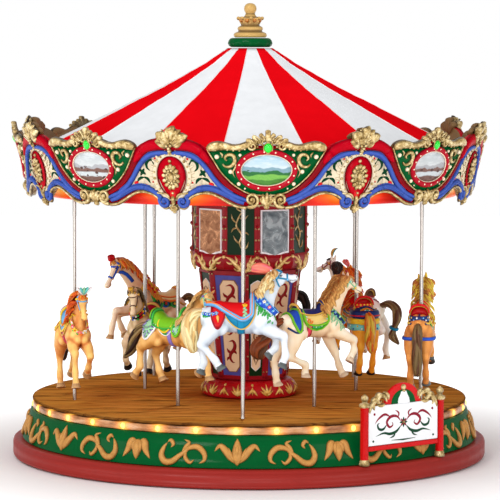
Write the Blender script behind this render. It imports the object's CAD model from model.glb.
"""Looks of the tabletop carousel: painted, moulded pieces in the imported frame. Lengths in the tables are millimetres,
angles are degrees from the front towards +X, and every piece is placed in the frame's own coordinates."""

import math
import random

import bmesh
import bpy
import numpy as np
from mathutils import Matrix, Vector
from mathutils.bvhtree import BVHTree


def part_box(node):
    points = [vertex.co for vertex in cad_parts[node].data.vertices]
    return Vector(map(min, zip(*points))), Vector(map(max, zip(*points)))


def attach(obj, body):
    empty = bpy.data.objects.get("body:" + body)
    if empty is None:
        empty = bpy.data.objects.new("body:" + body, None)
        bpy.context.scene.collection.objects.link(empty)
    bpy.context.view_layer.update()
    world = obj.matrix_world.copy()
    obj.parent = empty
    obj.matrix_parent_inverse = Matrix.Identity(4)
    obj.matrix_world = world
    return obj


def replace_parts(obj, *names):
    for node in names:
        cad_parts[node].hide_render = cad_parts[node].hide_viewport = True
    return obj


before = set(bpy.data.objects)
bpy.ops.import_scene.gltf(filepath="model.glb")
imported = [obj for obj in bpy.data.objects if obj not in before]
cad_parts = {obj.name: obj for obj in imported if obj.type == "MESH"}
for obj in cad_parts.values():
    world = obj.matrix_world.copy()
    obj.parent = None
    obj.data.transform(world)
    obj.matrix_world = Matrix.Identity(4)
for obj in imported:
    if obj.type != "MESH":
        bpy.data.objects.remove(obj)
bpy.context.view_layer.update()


MM = 0.001


def at(r, deg, z):
    """A point by radius, angle from the front and height, in millimetres."""
    a = math.radians(deg)
    return (r * math.sin(a), -r * math.cos(a), z)


# ------------------------------------------------------------------ mesh building
class Build:
    """Collects vertices, faces, paint indices and a wash value (how much dark paint has settled there)."""

    def __init__(self):
        self.v, self.f, self.m, self.s, self.w = [], [], [], [], []

    def add(self, verts, faces, mat=0, smooth=True, wash=0.0):
        o = len(self.v)
        self.v.extend(tuple(p) for p in verts)
        self.w.extend(list(wash) if hasattr(wash, "__len__") else [wash] * len(verts))
        self.f.extend(tuple(i + o for i in f) for f in faces)
        self.m.extend([mat] * len(faces))
        self.s.extend([smooth] * len(faces))

    def object(self, name, mats, uv=None):
        mesh = bpy.data.meshes.new(name)
        mesh.from_pydata([(x * MM, y * MM, z * MM) for x, y, z in self.v], [], self.f)
        for mat in mats:
            mesh.materials.append(mat)
        mesh.polygons.foreach_set("material_index", self.m)
        mesh.polygons.foreach_set("use_smooth", self.s)
        wash = mesh.attributes.new("wash", "FLOAT", "POINT")
        wash.data.foreach_set("value", np.array(self.w, np.float32))
        bm = bmesh.new()
        bm.from_mesh(mesh)
        bmesh.ops.recalc_face_normals(bm, faces=bm.faces)
        bm.to_mesh(mesh)
        bm.free()
        mesh.update()
        obj = bpy.data.objects.new(name, mesh)
        bpy.context.scene.collection.objects.link(obj)
        for start, most in MOST.items():
            if name.startswith(start):
                lighten(obj, most)
        return obj


MOST = {"horse_": 42000, "cornice_relief_": 37000, "fascia_with": 32000, "column_shaft": 25000, "drum_band": 15500}


def lighten(obj, most):
    """Merge the smallest facets until the piece has about `most` triangles."""
    n = sum(len(p.vertices) - 2 for p in obj.data.polygons)
    if n <= most:
        return
    mod = obj.modifiers.new("fewer_facets", "DECIMATE")
    mod.ratio = most / n
    graph = bpy.context.evaluated_depsgraph_get()
    mesh = bpy.data.meshes.new_from_object(obj.evaluated_get(graph), preserve_all_data_layers=True, depsgraph=graph)
    obj.modifiers.clear()
    old, obj.data = obj.data, mesh
    mesh.name = old.name + "_light"
    bpy.data.meshes.remove(old)


def grid_faces(rows, cols, wrap_r=False, wrap_c=False):
    out = []
    for i in range(rows if wrap_r else rows - 1):
        for j in range(cols if wrap_c else cols - 1):
            a, b = i * cols + j, i * cols + (j + 1) % cols
            c, d = ((i + 1) % rows) * cols + (j + 1) % cols, ((i + 1) % rows) * cols + j
            out.append((a, b, c, d))
    return out


def turned(b, profile, steps=144, mat=0, smooth=True, closed=False, wash=0.0, wobble=None):
    """A profile of (r, z) turned round the axis. A crease comes from a doubled point."""
    verts = []
    for k in range(steps):
        deg = 360.0 * k / steps
        for r, z in profile:
            dr = wobble(r, z, deg) if wobble else 0.0
            verts.append(at(r + dr, deg, z))
    n = len(profile)
    b.add(verts, grid_faces(steps, n, wrap_r=True, wrap_c=closed), mat, smooth, wash)


def frames(points, up=(0, 0, 1)):
    """Tangents and steady side vectors along a line of points."""
    pts = np.array(points, float)
    tan = np.gradient(pts, axis=0)
    tan /= np.maximum(np.linalg.norm(tan, axis=1, keepdims=True), 1e-9)
    side = []
    ref = np.array(up, float)
    if abs(tan[0] @ ref) > 0.95:
        ref = np.array((1.0, 0, 0)) if abs(tan[0][0]) < 0.8 else np.array((0, 1.0, 0))
    s = np.cross(tan[0], ref)
    s /= np.linalg.norm(s)
    for t in tan:
        s = s - t * (s @ t)
        s /= max(np.linalg.norm(s), 1e-9)
        side.append(s.copy())
    side = np.array(side)
    return pts, tan, side, np.cross(side, tan)


def tube(b, points, wide, high=None, sides=8, mat=0, up=(0, 0, 1), normals=None, wash_ends=0.0, smooth=True, groove=0.0, wash=0.0):
    """A closed tube along points; wide and high are half widths, one number or one a point."""
    pts, tan, side, top = frames(points, up)
    n = len(pts)
    if normals is not None:
        top = np.array(normals, float)
        side = np.cross(tan, top)
        side /= np.maximum(np.linalg.norm(side, axis=1, keepdims=True), 1e-9)
        top = np.cross(side, tan)
    wide = np.broadcast_to(np.asarray(wide, float), (n,))
    high = wide if high is None else np.broadcast_to(np.asarray(high, float), (n,))
    verts, washes = [], []
    for i in range(n):
        for k in range(sides):
            a = math.tau * k / sides
            g = 1.0 - groove * (k % 2)
            verts.append(pts[i] + side[i] * math.cos(a) * wide[i] * g + top[i] * math.sin(a) * high[i] * g)
            washes.append(min(1.0, wash + groove * 3 * (k % 2) + wash_ends * abs(2 * i / max(n - 1, 1) - 1) ** 3))
    faces = grid_faces(n, sides, wrap_c=True)
    o = len(verts)
    verts += [pts[0] - tan[0] * min(wide[0], high[0]) * 0.6, pts[-1] + tan[-1] * min(wide[-1], high[-1]) * 0.6]
    washes += [wash + wash_ends, wash + wash_ends]
    faces += [(o, (k + 1) % sides, k) for k in range(sides)]
    faces += [(o + 1, (n - 1) * sides + k, (n - 1) * sides + (k + 1) % sides) for k in range(sides)]
    b.add(verts, faces, mat, smooth, washes)


def ball(b, c, r, mat=0, axes=None, seg=10, rings=6, wash=0.0, wash_low=0.0):
    """A ball or, with axes as three vectors, an ellipsoid. wash_low darkens its far side (against axes[2])."""
    c = np.array(c, float)
    ax = np.eye(3) * r if axes is None else np.array(axes, float)
    verts, washes = [], []
    for i in range(1, rings):
        p = math.pi * i / rings
        for k in range(seg):
            a = math.tau * k / seg
            q = (math.sin(p) * math.cos(a), math.sin(p) * math.sin(a), math.cos(p))
            verts.append(c + q[0] * ax[0] + q[1] * ax[1] + q[2] * ax[2])
            washes.append(wash + wash_low * max(0.0, 0.55 - q[2]) / 1.2)
    faces = grid_faces(rings - 1, seg, wrap_c=True)
    o = len(verts)
    verts += [c + ax[2], c - ax[2]]
    washes += [wash, wash + wash_low]
    faces += [(o, k, (k + 1) % seg) for k in range(seg)]
    faces += [(o + 1, (rings - 2) * seg + (k + 1) % seg, (rings - 2) * seg + k) for k in range(seg)]
    b.add(verts, faces, mat, True, washes)


def smooth_line(pts, per=6, closed=False):
    """A Catmull-Rom line through the points, which may carry more numbers than coordinates."""
    p = np.array(pts, float)
    if closed:
        p = np.vstack([p[-1], p, p[0], p[1]])
    else:
        p = np.vstack([2 * p[0] - p[1], p, 2 * p[-1] - p[-2]])
    out = []
    for i in range(1, len(p) - 2):
        for k in range(per):
            t = k / per
            a, b_, c, d = p[i - 1], p[i], p[i + 1], p[i + 2]
            out.append(0.5 * (2 * b_ + (c - a) * t + (2 * a - 5 * b_ + 4 * c - d) * t * t + (3 * b_ - a - 3 * c + d) * t ** 3))
    if not closed:
        out.append(p[-2])
    return np.array(out)


def strip(b, surf, line, width, height, mat=0, base=0.0, sides=7, edge_wash=0.75, closed=False, sharp=1.0):
    """A rounded relief strip laid along a line of (u, z) on a surface; width and height may vary along it."""
    p = np.array(line, float)[:, :2]
    n = len(p)
    w = np.broadcast_to(np.asarray(width, float), (n,))
    h = np.broadcast_to(np.asarray(height, float), (n,))
    if closed:
        t = np.roll(p, -1, 0) - np.roll(p, 1, 0)
    else:
        t = np.gradient(p, axis=0)
    t /= np.maximum(np.linalg.norm(t, axis=1, keepdims=True), 1e-9)
    nrm = np.stack([-t[:, 1], t[:, 0]], 1)
    verts, washes = [], []
    for i in range(n):
        for k in range(sides):
            a = math.pi * k / (sides - 1)
            off = math.cos(a) * w[i]
            lift = base + (math.sin(a) ** sharp) * h[i]
            verts.append(surf(p[i][0] + nrm[i][0] * off, p[i][1] + nrm[i][1] * off, lift))
            washes.append(edge_wash * max(0.0, abs(math.cos(a)) - 0.55) / 0.45)
        verts.append(surf(p[i][0], p[i][1], base - 0.15))
        washes.append(edge_wash)
    b.add(verts, grid_faces(n, sides + 1, wrap_r=closed, wrap_c=True), mat, True, washes)
    if not closed:
        o = len(b.v) - n * (sides + 1)
        b.f += [tuple(o + k for k in range(sides + 1)), tuple(o + (n - 1) * (sides + 1) + k for k in range(sides, -1, -1))]
        b.m += [mat, mat]
        b.s += [True, True]


def bead(b, surf, u, z, r, mat=0, rz=None, base=0.0, high=None, seg=9, rings=5, wash=0.5, turn=0.0):
    """A rounded boss on a surface."""
    rz = r if rz is None else rz
    high = min(r, rz) * 0.8 if high is None else high
    verts, washes = [], []
    ca, sa = math.cos(math.radians(turn)), math.sin(math.radians(turn))
    for i in range(rings):
        p = (math.pi / 2) * i / (rings - 1)
        if i == rings - 1:
            break
        for k in range(seg):
            a = math.tau * k / seg
            du, dz = r * math.cos(p) * math.cos(a), rz * math.cos(p) * math.sin(a)
            verts.append(surf(u + du * ca - dz * sa, z + du * sa + dz * ca, base + high * math.sin(p)))
            washes.append(wash * max(0.0, 1 - 2.2 * i / rings))
    o = len(verts)
    verts += [surf(u, z, base + high), surf(u, z, base - 0.15)]
    washes += [0.0, wash]
    faces = grid_faces(rings - 1, seg, wrap_c=True)
    faces += [((rings - 2) * seg + k, (rings - 2) * seg + (k + 1) % seg, o) for k in range(seg)]
    faces += [((k + 1) % seg, k, o + 1) for k in range(seg)]
    b.add(verts, faces, mat, True, washes)


def leaf(b, surf, line, width, height, mat=0, base=0.0, edge_wash=0.5, sides=7, peak=0.35):
    """A strip that swells and comes to a point at both ends."""
    p = smooth_line(line, 5)
    t = np.linspace(0, 1, len(p))
    swell = np.where(t < peak, t / peak, (1 - t) / (1 - peak))
    swell = np.sin(np.clip(swell, 0, 1) * math.pi / 2) ** 0.8
    strip(b, surf, p, np.maximum(width * swell, 0.06), np.maximum(height * swell, 0.05), mat, base, sides, edge_wash)


def field(b, surf, us, low, high, lift, mat=0, rows=8, thick=0.4, wash=0.0, crown=0.0):
    """A plate between two lines low(u) and high(u) on a surface, raised by lift, closed behind."""
    top, back, washes = [], [], []
    for u in us:
        z0, z1 = low(u), high(u)
        for k in range(rows):
            t = k / (rows - 1)
            h = lift + crown * math.sin(math.pi * t)
            top.append(surf(u, z0 + (z1 - z0) * t, h))
            back.append(surf(u, z0 + (z1 - z0) * t, lift - thick))
            washes.append(wash * (abs(2 * t - 1) ** 4))
    n = len(us)
    nt = n * rows
    faces = grid_faces(n, rows)
    faces += [tuple(i + nt for i in f[::-1]) for f in grid_faces(n, rows)]
    for i in range(n - 1):
        a, c = i * rows, (i + 1) * rows
        faces += [(a, c, c + nt, a + nt), (a + rows - 1, a + rows - 1 + nt, c + rows - 1 + nt, c + rows - 1)]
    for k in range(rows - 1):
        faces += [(k, k + nt, k + 1 + nt, k + 1), ((n - 1) * rows + k, (n - 1) * rows + k + 1, (n - 1) * rows + k + 1 + nt, (n - 1) * rows + k + nt)]
    b.add(top + back, faces, mat, True, washes + [wash] * nt)


def flat(b, surf, outline, h0, h1, mat=0, smooth=False, wash=0.0, bevel=0.0):
    """A small plate with straight sides from any outline of (u, z) points."""
    o = np.array(outline, float)
    area = 0.5 * float(np.sum(o[:, 0] * np.roll(o[:, 1], -1) - np.roll(o[:, 0], -1) * o[:, 1]))
    if area < 0:
        o = o[::-1]
    n = len(o)
    rows = [(0.0, h0), (0.0, h1 - bevel), (bevel, h1)] if bevel else [(0.0, h0), (0.0, h1)]
    verts = []
    tan = np.roll(o, -1, 0) - np.roll(o, 1, 0)
    tan /= np.maximum(np.linalg.norm(tan, axis=1, keepdims=True), 1e-9)
    inward = np.stack([-tan[:, 1], tan[:, 0]], 1)
    for inset, h in rows:
        for p, q in zip(o, inward):
            verts.append(surf(p[0] + q[0] * inset, p[1] + q[1] * inset, h))
    faces = grid_faces(len(rows), n, wrap_c=True)
    faces += [tuple(range(n - 1, -1, -1)), tuple((len(rows) - 1) * n + k for k in range(n))]
    b.add(verts, faces, mat, smooth, wash)


# ------------------------------------------------------------------ paint
def lin(r, g, b_):
    """A display colour 0 to 255 as linear light."""
    return tuple(((c / 255.0) / 12.92 if c / 255.0 <= 0.04045 else ((c / 255.0 + 0.055) / 1.055) ** 2.4) for c in (r, g, b_))


class Mat:
    """A Principled material with small helpers for its nodes."""

    def __init__(self, name, rough=0.35, metallic=0.0, coat=0.0):
        self.mat = bpy.data.materials.new(name)
        self.mat.use_nodes = True
        self.nt = self.mat.node_tree
        self.bsdf = self.nt.nodes["Principled BSDF"]
        self.bsdf.inputs["Roughness"].default_value = rough
        self.bsdf.inputs["Metallic"].default_value = metallic
        self.bsdf.inputs["Specular IOR Level"].default_value = 0.13
        if coat:
            self.bsdf.inputs["Coat Weight"].default_value = coat if coat >= 0.8 else coat * 0.3
            self.bsdf.inputs["Coat Roughness"].default_value = 0.15
        self.coords = self.nt.nodes.new("ShaderNodeTexCoord").outputs["Object"]

    def node(self, kind, **values):
        n = self.nt.nodes.new(kind)
        for k, v in values.items():
            setattr(n, k, v)
        return n

    def link(self, a, b_):
        self.nt.links.new(a, b_)

    def noise(self, scale, detail=3.0, rough=0.55, stretch=None, distort=0.0, coords=None):
        src = coords or self.coords
        if stretch:
            m = self.node("ShaderNodeMapping")
            m.inputs["Scale"].default_value = stretch
            self.link(src, m.inputs["Vector"])
            src = m.outputs["Vector"]
        n = self.node("ShaderNodeTexNoise")
        n.inputs["Scale"].default_value = scale
        n.inputs["Detail"].default_value = detail
        n.inputs["Roughness"].default_value = rough
        n.inputs["Distortion"].default_value = distort
        self.link(src, n.inputs["Vector"])
        return n.outputs["Fac"]

    def ramp(self, fac, stops, interp="LINEAR"):
        n = self.node("ShaderNodeValToRGB")
        n.color_ramp.interpolation = interp
        e = n.color_ramp.elements
        while len(e) < len(stops):
            e.new(0.5)
        for k, (pos, col) in enumerate(stops):
            e[k].position = pos
            e[k].color = (*col, 1.0)
        self.link(fac, n.inputs["Fac"])
        return n.outputs["Color"]

    def math(self, op, a, b_=None, clamp=False):
        n = self.node("ShaderNodeMath", operation=op, use_clamp=clamp)
        for k, x in enumerate((a, b_)):
            if x is None:
                continue
            if isinstance(x, (int, float)):
                n.inputs[k].default_value = x
            else:
                self.link(x, n.inputs[k])
        return n.outputs[0]

    def remap(self, x, a, b_, c=0.0, d=1.0):
        n = self.node("ShaderNodeMapRange")
        for k, v in (("From Min", a), ("From Max", b_), ("To Min", c), ("To Max", d)):
            n.inputs[k].default_value = v
        self.link(x, n.inputs["Value"])
        return n.outputs["Result"]

    def mix(self, fac, a, b_, blend="MIX"):
        n = self.node("ShaderNodeMix", data_type="RGBA", blend_type=blend)
        if isinstance(fac, (int, float)):
            n.inputs["Factor"].default_value = fac
        else:
            self.link(fac, n.inputs["Factor"])
        for key, x in (("A", a), ("B", b_)):
            sock = [s for s in n.inputs if s.identifier == key + "_Color"][0]
            if isinstance(x, tuple):
                sock.default_value = (*x[:3], 1.0)
            else:
                self.link(x, sock)
        return [s for s in n.outputs if s.identifier == "Result_Color"][0]

    def attribute(self, name):
        n = self.node("ShaderNodeAttribute", attribute_name=name)
        return n.outputs["Fac"]

    def xyz(self, coords=None):
        n = self.node("ShaderNodeSeparateXYZ")
        self.link(coords or self.coords, n.inputs[0])
        return n.outputs

    def color(self, out):
        if isinstance(out, tuple):
            self.bsdf.inputs["Base Color"].default_value = (*out, 1.0)
        else:
            self.link(out, self.bsdf.inputs["Base Color"])

    def rough(self, out):
        self.link(out, self.bsdf.inputs["Roughness"])

    def bump(self, out, strength=0.2, distance=0.0002):
        n = self.node("ShaderNodeBump")
        n.inputs["Strength"].default_value = strength
        n.inputs["Distance"].default_value = distance
        self.link(out, n.inputs["Height"])
        self.link(n.outputs["Normal"], self.bsdf.inputs["Normal"])


def scaled(c, k):
    return tuple(min(1.0, x * k) for x in c)


def paint(name, base, rough=0.35, wash=None, mottle=0.10, scale=220.0, bump=0.08, coat=0.15, amount=0.85, vary=0.05, metallic=0.0, streak=None):
    """Hand-brushed paint on a moulding: soft mottling, settled dark wash, a slightly uneven gloss."""
    m = Mat(name, rough, metallic, coat)
    big = m.noise(scale, 4.0, 0.6, stretch=streak)
    col = m.mix(big, scaled(base, 1.0 - mottle * 1.6), scaled(base, 1.0 + mottle))
    wash = wash or scaled(base, 0.35)
    f = m.math("ADD", m.math("MULTIPLY", m.attribute("wash"), amount), m.math("MULTIPLY", m.math("SUBTRACT", big, 0.5), 0.35 * amount))
    f = m.math("MAXIMUM", m.math("MINIMUM", f, 1.0), 0.0)
    col = m.mix(f, col, wash)
    m.color(col)
    if vary:
        m.rough(m.remap(m.noise(scale * 2.2, 2.0), 0.3, 0.7, max(0.02, rough - vary), rough + vary))
    if bump:
        m.bump(m.noise(scale * 3.5, 2.0), bump, 0.0002)
    return m.mat

# the ten horses: place on the ring, seat height, size, and the lines their neck, head, legs and tail follow
HORSES = {
    "horse_white": dict(ring=106.1, at=-1.9, seat=100.0, size=1.044, pitch=0,
        neck=[(9.3, 0, -2.8, 6.2), (13.6, 0, 6.4, 4.7), (16.6, 0, 12.4, 3.9)], head=[(18.4, 0, 12.8, 3.8), (26.2, 0, 13.3, 2.5)],
        fr=[(21.7, -17.6), (22.8, -28.0), (21.2, -32.2)], fl=[(17.8, -18.6), (17.0, -25.0), (14.0, -28.0)],
        hr=[(-21.8, -22.6), (-14.8, -30.6), (-12.6, -34.2)], hl=[(-22.4, -25.0), (-21.2, -33.0), (-22.6, -36.8)]),
    "horse_palomino": dict(ring=106.1, at=70.1, turn=12.0, seat=88.0, size=1.009, pitch=0,
        neck=[(9.0, 0, -2.6, 6.2), (12.2, 0, 7.4, 4.8), (14.4, 0, 13.6, 3.9)], head=[(16.2, -0.8, 13.8, 3.8), (22.0, -4.6, 8.6, 2.5)],
        fr=[(20.0, -16.5), (21.5, -25.5), (18.5, -29.0)], fl=[(16.0, -22.0), (14.2, -32.0), (15.2, -37.0)],
        hr=[(-21.0, -24.0), (-18.2, -34.0), (-16.2, -38.5)], hl=[(-22.0, -25.0), (-21.0, -35.0), (-19.6, -40.0)]),
    "horse_ivory": dict(ring=106.1, at=142.1, seat=86.4, size=0.961, pitch=4,
        neck=[(9.4, 0, -2.4, 6.2), (13.2, 0, 8.6, 4.6), (16.2, 0, 16.6, 3.8)], head=[(18.2, 0, 18.6, 3.7), (27.6, 0, 15.2, 2.4)],
        fr=[(22.6, -14.5), (22.0, -23.0), (19.2, -27.0)], fl=[(20.6, -17.0), (24.0, -26.0), (26.0, -31.0)],
        hr=[(-24.0, -24.0), (-22.2, -34.0), (-23.2, -38.5)], hl=[(-25.0, -21.5), (-15.2, -28.5), (-12.2, -34.0)]),
    "horse_bay": dict(ring=106.1, at=214.1, seat=88.3, size=0.96, pitch=9,
        neck=[(10.6, 0, -0.6, 6.6), (18.2, 0, 10.6, 5.2), (24.6, 0, 17.2, 4.2)], head=[(28.4, 0, 16.8, 4.0), (35.4, 0, 5.8, 2.6)],
        fr=[(26.0, -14.5), (22.6, -23.0), (20.4, -26.6)], fl=[(31.6, -11.6), (34.6, -21.0), (35.6, -27.2)],
        hr=[(-20.0, -27.0), (-14.6, -35.4), (-12.6, -40.0)], hl=[(-22.6, -24.0), (-18.0, -33.0), (-15.8, -37.6)]),
    "horse_chestnut": dict(ring=106.1, at=286.1, seat=83.2, size=1.007, pitch=0,
        neck=[(9.4, 0, -2.6, 6.2), (13.8, 0, 6.6, 4.8), (16.8, 0, 12.4, 4.0)], head=[(18.8, 0, 11.8, 4.0), (23.0, 0.5, 3.2, 2.6)],
        fr=[(20.6, -18.8), (21.0, -29.6), (22.4, -36.2)], fl=[(21.8, -20.4), (17.0, -27.4), (14.0, -30.2)],
        hr=[(-21.0, -24.0), (-20.4, -36.0), (-18.8, -41.0)], hl=[(-22.0, -22.4), (-24.6, -31.0), (-27.6, -34.6)]),
    "horse_tan": dict(ring=66.8, at=-37.9, seat=86.1, size=1.019, pitch=0,
        neck=[(10.0, 0, -2.4, 6.2), (15.2, 0, 5.8, 4.9), (19.0, 0, 11.6, 4.0)], head=[(21.0, -0.8, 11.6, 3.8), (25.0, -3.6, 3.0, 2.6)],
        fr=[(23.8, -16.2), (24.6, -26.0), (25.6, -31.6)], fl=[(20.0, -20.0), (15.6, -27.0), (12.2, -30.0)],
        hr=[(-24.0, -18.8), (-24.4, -29.6), (-27.8, -33.6)], hl=[(-20.0, -22.6), (-17.4, -31.8), (-15.2, -36.2)]),
    "horse_cream": dict(ring=66.8, at=34.1, seat=91.9, size=1.02, pitch=0,
        neck=[(10.2, 0, -2.4, 6.3), (15.8, 0, 6.6, 4.9), (20.0, 0, 12.6, 4.0)], head=[(22.2, 0, 13.2, 3.8), (30.0, 0, 9.4, 2.5)],
        fr=[(24.0, -19.2), (24.4, -25.2), (21.8, -29.4)], fl=[(17.6, -27.2), (20.2, -34.4), (22.2, -38.6)],
        hr=[(-20.0, -26.0), (-9.2, -31.4), (-9.4, -36.2)], hl=[(-25.0, -27.0), (-23.6, -36.0), (-22.8, -41.0)]),
    "horse_orange": dict(ring=66.8, at=106.1, seat=88.2, size=0.985, pitch=0,
        neck=[(9.0, 0, -2.4, 6.2), (12.4, 0, 7.8, 4.8), (14.6, 0, 14.4, 3.9)], head=[(16.6, -1.0, 15.4, 3.8), (22.6, -5.4, 13.4, 2.5)],
        fr=[(20.0, -18.0), (19.2, -27.0), (16.6, -30.2)], fl=[(21.0, -16.2), (24.0, -25.0), (25.8, -30.0)],
        hr=[(-21.0, -25.0), (-18.6, -35.4), (-16.6, -40.4)], hl=[(-22.0, -25.0), (-20.2, -35.0), (-18.2, -40.4)]),
    "horse_black": dict(ring=66.8, at=178.1, seat=89.3, size=0.965, pitch=0,
        neck=[(9.4, 0, -2.6, 6.2), (14.0, 0, 6.4, 4.8), (17.2, 0, 12.4, 4.0)], head=[(19.4, 0, 12.4, 3.8), (27.0, 0, 8.4, 2.5)],
        fr=[(22.2, -17.4), (22.2, -27.0), (20.2, -31.0)], fl=[(18.6, -19.6), (20.0, -29.4), (21.6, -34.0)],
        hr=[(-22.0, -23.6), (-18.0, -33.0), (-16.6, -37.6)], hl=[(-23.0, -24.4), (-22.6, -34.0), (-23.6, -38.6)]),
    "horse_brown": dict(ring=66.8, at=250.1, seat=81.9, size=0.984, pitch=0,
        neck=[(9.6, 0, -2.6, 6.2), (14.2, 0, 6.0, 4.8), (17.2, 0, 11.4, 4.0)], head=[(19.2, 0.6, 10.8, 3.8), (23.4, 1.6, 1.6, 2.5)],
        fr=[(21.6, -17.6), (20.6, -27.6), (17.6, -30.8)], fl=[(19.0, -19.8), (20.2, -30.0), (22.0, -35.0)],
        hr=[(-21.6, -23.4), (-19.2, -33.6), (-17.4, -38.6)], hl=[(-22.4, -24.0), (-23.8, -33.0), (-26.2, -36.6)]),
}

TAIL = [(-26.4, -8.0, 2.6), (-28.2, -15.0, 2.9), (-27.0, -22.0, 2.4), (-28.6, -27.0, 1.3)]
TAILS = {
    "horse_white": [(-26.0, -6.6, 3.4), (-28.6, -12.5, 4.3), (-28.0, -19.5, 4.0), (-26.6, -26.0, 2.2)],
    "horse_tan": [(-27.5, -7.6, 2.6), (-32.0, -14.0, 3.5), (-34.6, -21.0, 3.0), (-39.0, -25.2, 1.4)],
    "horse_cream": [(-27.0, -8.4, 2.6), (-33.0, -14.6, 3.6), (-38.2, -20.8, 5.0), (-36.6, -25.4, 2.8)],
    "horse_ivory": [(-27.4, -4.4, 2.6), (-33.0, -7.0, 3.3), (-34.2, -13.0, 3.1), (-31.8, -20.0, 1.8), (-30.8, -25.0, 2.8), (-34.6, -29.0, 1.5)],
    "horse_palomino": [(-25.2, -9.0, 2.5), (-25.8, -17.0, 2.8), (-25.2, -26.0, 2.8), (-25.6, -33.0, 1.8)],
    "horse_black": [(-26.6, -1.8, 3.1), (-31.4, -2.8, 3.5), (-34.2, -8.6, 3.1), (-33.8, -16.0, 2.4), (-35.2, -22.0, 1.3)],
    "horse_bay": [(-26.4, -5.4, 2.7), (-30.2, -9.6, 3.1), (-30.4, -17.0, 2.7), (-31.4, -24.0, 1.4)],
}

# ------------------------------------------------------------------ shared paints
RED = paint("red_gloss", lin(188, 8, 20), 0.3, wash=lin(84, 2, 8), coat=0.4)
BRIGHT_RED = paint("red_bright", lin(206, 10, 14), 0.3, wash=lin(110, 6, 10), coat=0.4)
MAROON = paint("red_maroon", lin(122, 4, 16), 0.32, wash=lin(46, 0, 6), coat=0.3)
BRICK = paint("red_brick", lin(150, 38, 32), 0.42, wash=lin(88, 22, 20), mottle=0.08, scale=90)
GREEN = paint("green_gloss", lin(0, 84, 38), 0.3, wash=lin(0, 22, 10), coat=0.35, scale=110)
DARK_GREEN = paint("green_dark", lin(2, 42, 12), 0.35, wash=lin(0, 18, 6))


def antique_gold(name, dark, mid, bright, wash, rough=0.3):
    """Gold paint rubbed over brown: bright on the swell, brown in the grain of the casting and along every edge."""
    m = Mat(name, rough, 0.25, 0.3)
    m.bsdf.inputs["Specular IOR Level"].default_value = 0.5
    fine, broad = m.noise(900.0, 3.0, 0.65), m.noise(330.0, 3.0, 0.6)
    f = m.math("ADD", m.math("MULTIPLY", fine, 0.35), m.math("MULTIPLY", broad, 0.65))
    col = m.ramp(f, [(0.38, dark), (0.48, mid), (0.62, bright)])
    edge = m.math("ADD", m.math("MULTIPLY", m.attribute("wash"), 1.15), m.math("MULTIPLY", m.math("SUBTRACT", fine, 0.5), 0.6))
    col = m.mix(m.math("MAXIMUM", m.math("MINIMUM", edge, 1.0), 0.0), col, wash)
    m.color(col)
    m.bump(fine, 0.25, 0.0002)
    return m.mat


GOLD = antique_gold("gold_antique", lin(128, 100, 48), lin(182, 152, 90), lin(240, 220, 168), lin(52, 34, 10))
GOLD_BRIGHT = antique_gold("gold_bright", lin(176, 136, 70), lin(224, 188, 112), lin(250, 228, 160), lin(70, 40, 10))
TAN_GOLD = paint("gold_tan", lin(198, 142, 74), 0.36, wash=lin(74, 34, 6), mottle=0.3, scale=420, coat=0.1, amount=1.0)
CREAM = paint("cream_panel", lin(222, 206, 176), 0.42, wash=lin(136, 112, 66), mottle=0.08)
BEIGE = paint("beige_panel", lin(238, 208, 168), 0.42, wash=lin(120, 80, 50), mottle=0.10)
BLUE = paint("blue_rail", lin(64, 90, 172), 0.3, wash=lin(22, 32, 96), mottle=0.24, scale=360, coat=0.3)
VIOLET = paint("blue_violet", lin(78, 74, 190), 0.35, wash=lin(30, 26, 90))
PALE = paint("pale_dots", lin(246, 226, 196), 0.4, wash=lin(120, 84, 50), mottle=0.05)
WHITE = paint("white_gloss", lin(238, 240, 242), 0.35, wash=lin(150, 150, 156), mottle=0.02)
GEM = paint("green_gem", lin(10, 214, 40), 0.12, wash=lin(0, 90, 20), mottle=0.12, coat=1.0, bump=0.0)


def steel_material():
    m = Mat("pole_steel_drawn", 0.26, 1.0)
    n = m.noise(900.0, 2.0, stretch=(1.0, 1.0, 0.02))
    m.color(m.mix(n, lin(150, 143, 136), lin(206, 200, 194)))
    m.rough(m.remap(n, 0.3, 0.7, 0.2, 0.36))
    m.bump(n, 0.08, 0.00005)
    return m.mat


STEEL = steel_material()


def stripes_material():
    """Sixteen stripes, red and white, with a fine moulded line where they meet."""
    m = Mat("roof_stripes", 0.42)
    m.bsdf.inputs["Specular IOR Level"].default_value = 0.0
    x, y, z = m.xyz()
    turn = m.math("ARCTAN2", x, m.math("MULTIPLY", y, -1.0))
    step = m.math("DIVIDE", m.math("SUBTRACT", turn, math.radians(3.9)), math.radians(45.0))
    near = m.math("ABSOLUTE", m.math("SUBTRACT", m.math("SUBTRACT", step, 0.0), m.math("ROUND", step)))
    white = m.math("LESS_THAN", near, 0.25)
    big = m.noise(26.0, 3.0)
    fine = m.noise(160.0, 3.0)
    red = m.mix(big, lin(206, 6, 14), lin(244, 12, 24))
    pale = m.mix(fine, lin(224, 226, 229), lin(238, 240, 243))
    col = m.mix(white, red, pale)
    line = m.math("LESS_THAN", m.math("ABSOLUTE", m.math("SUBTRACT", near, 0.25)), 0.0035)
    col = m.mix(m.math("MULTIPLY", line, 0.55), col, lin(250, 236, 226))
    m.color(col)
    m.bump(fine, 0.06, 0.0002)
    return m.mat


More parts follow.
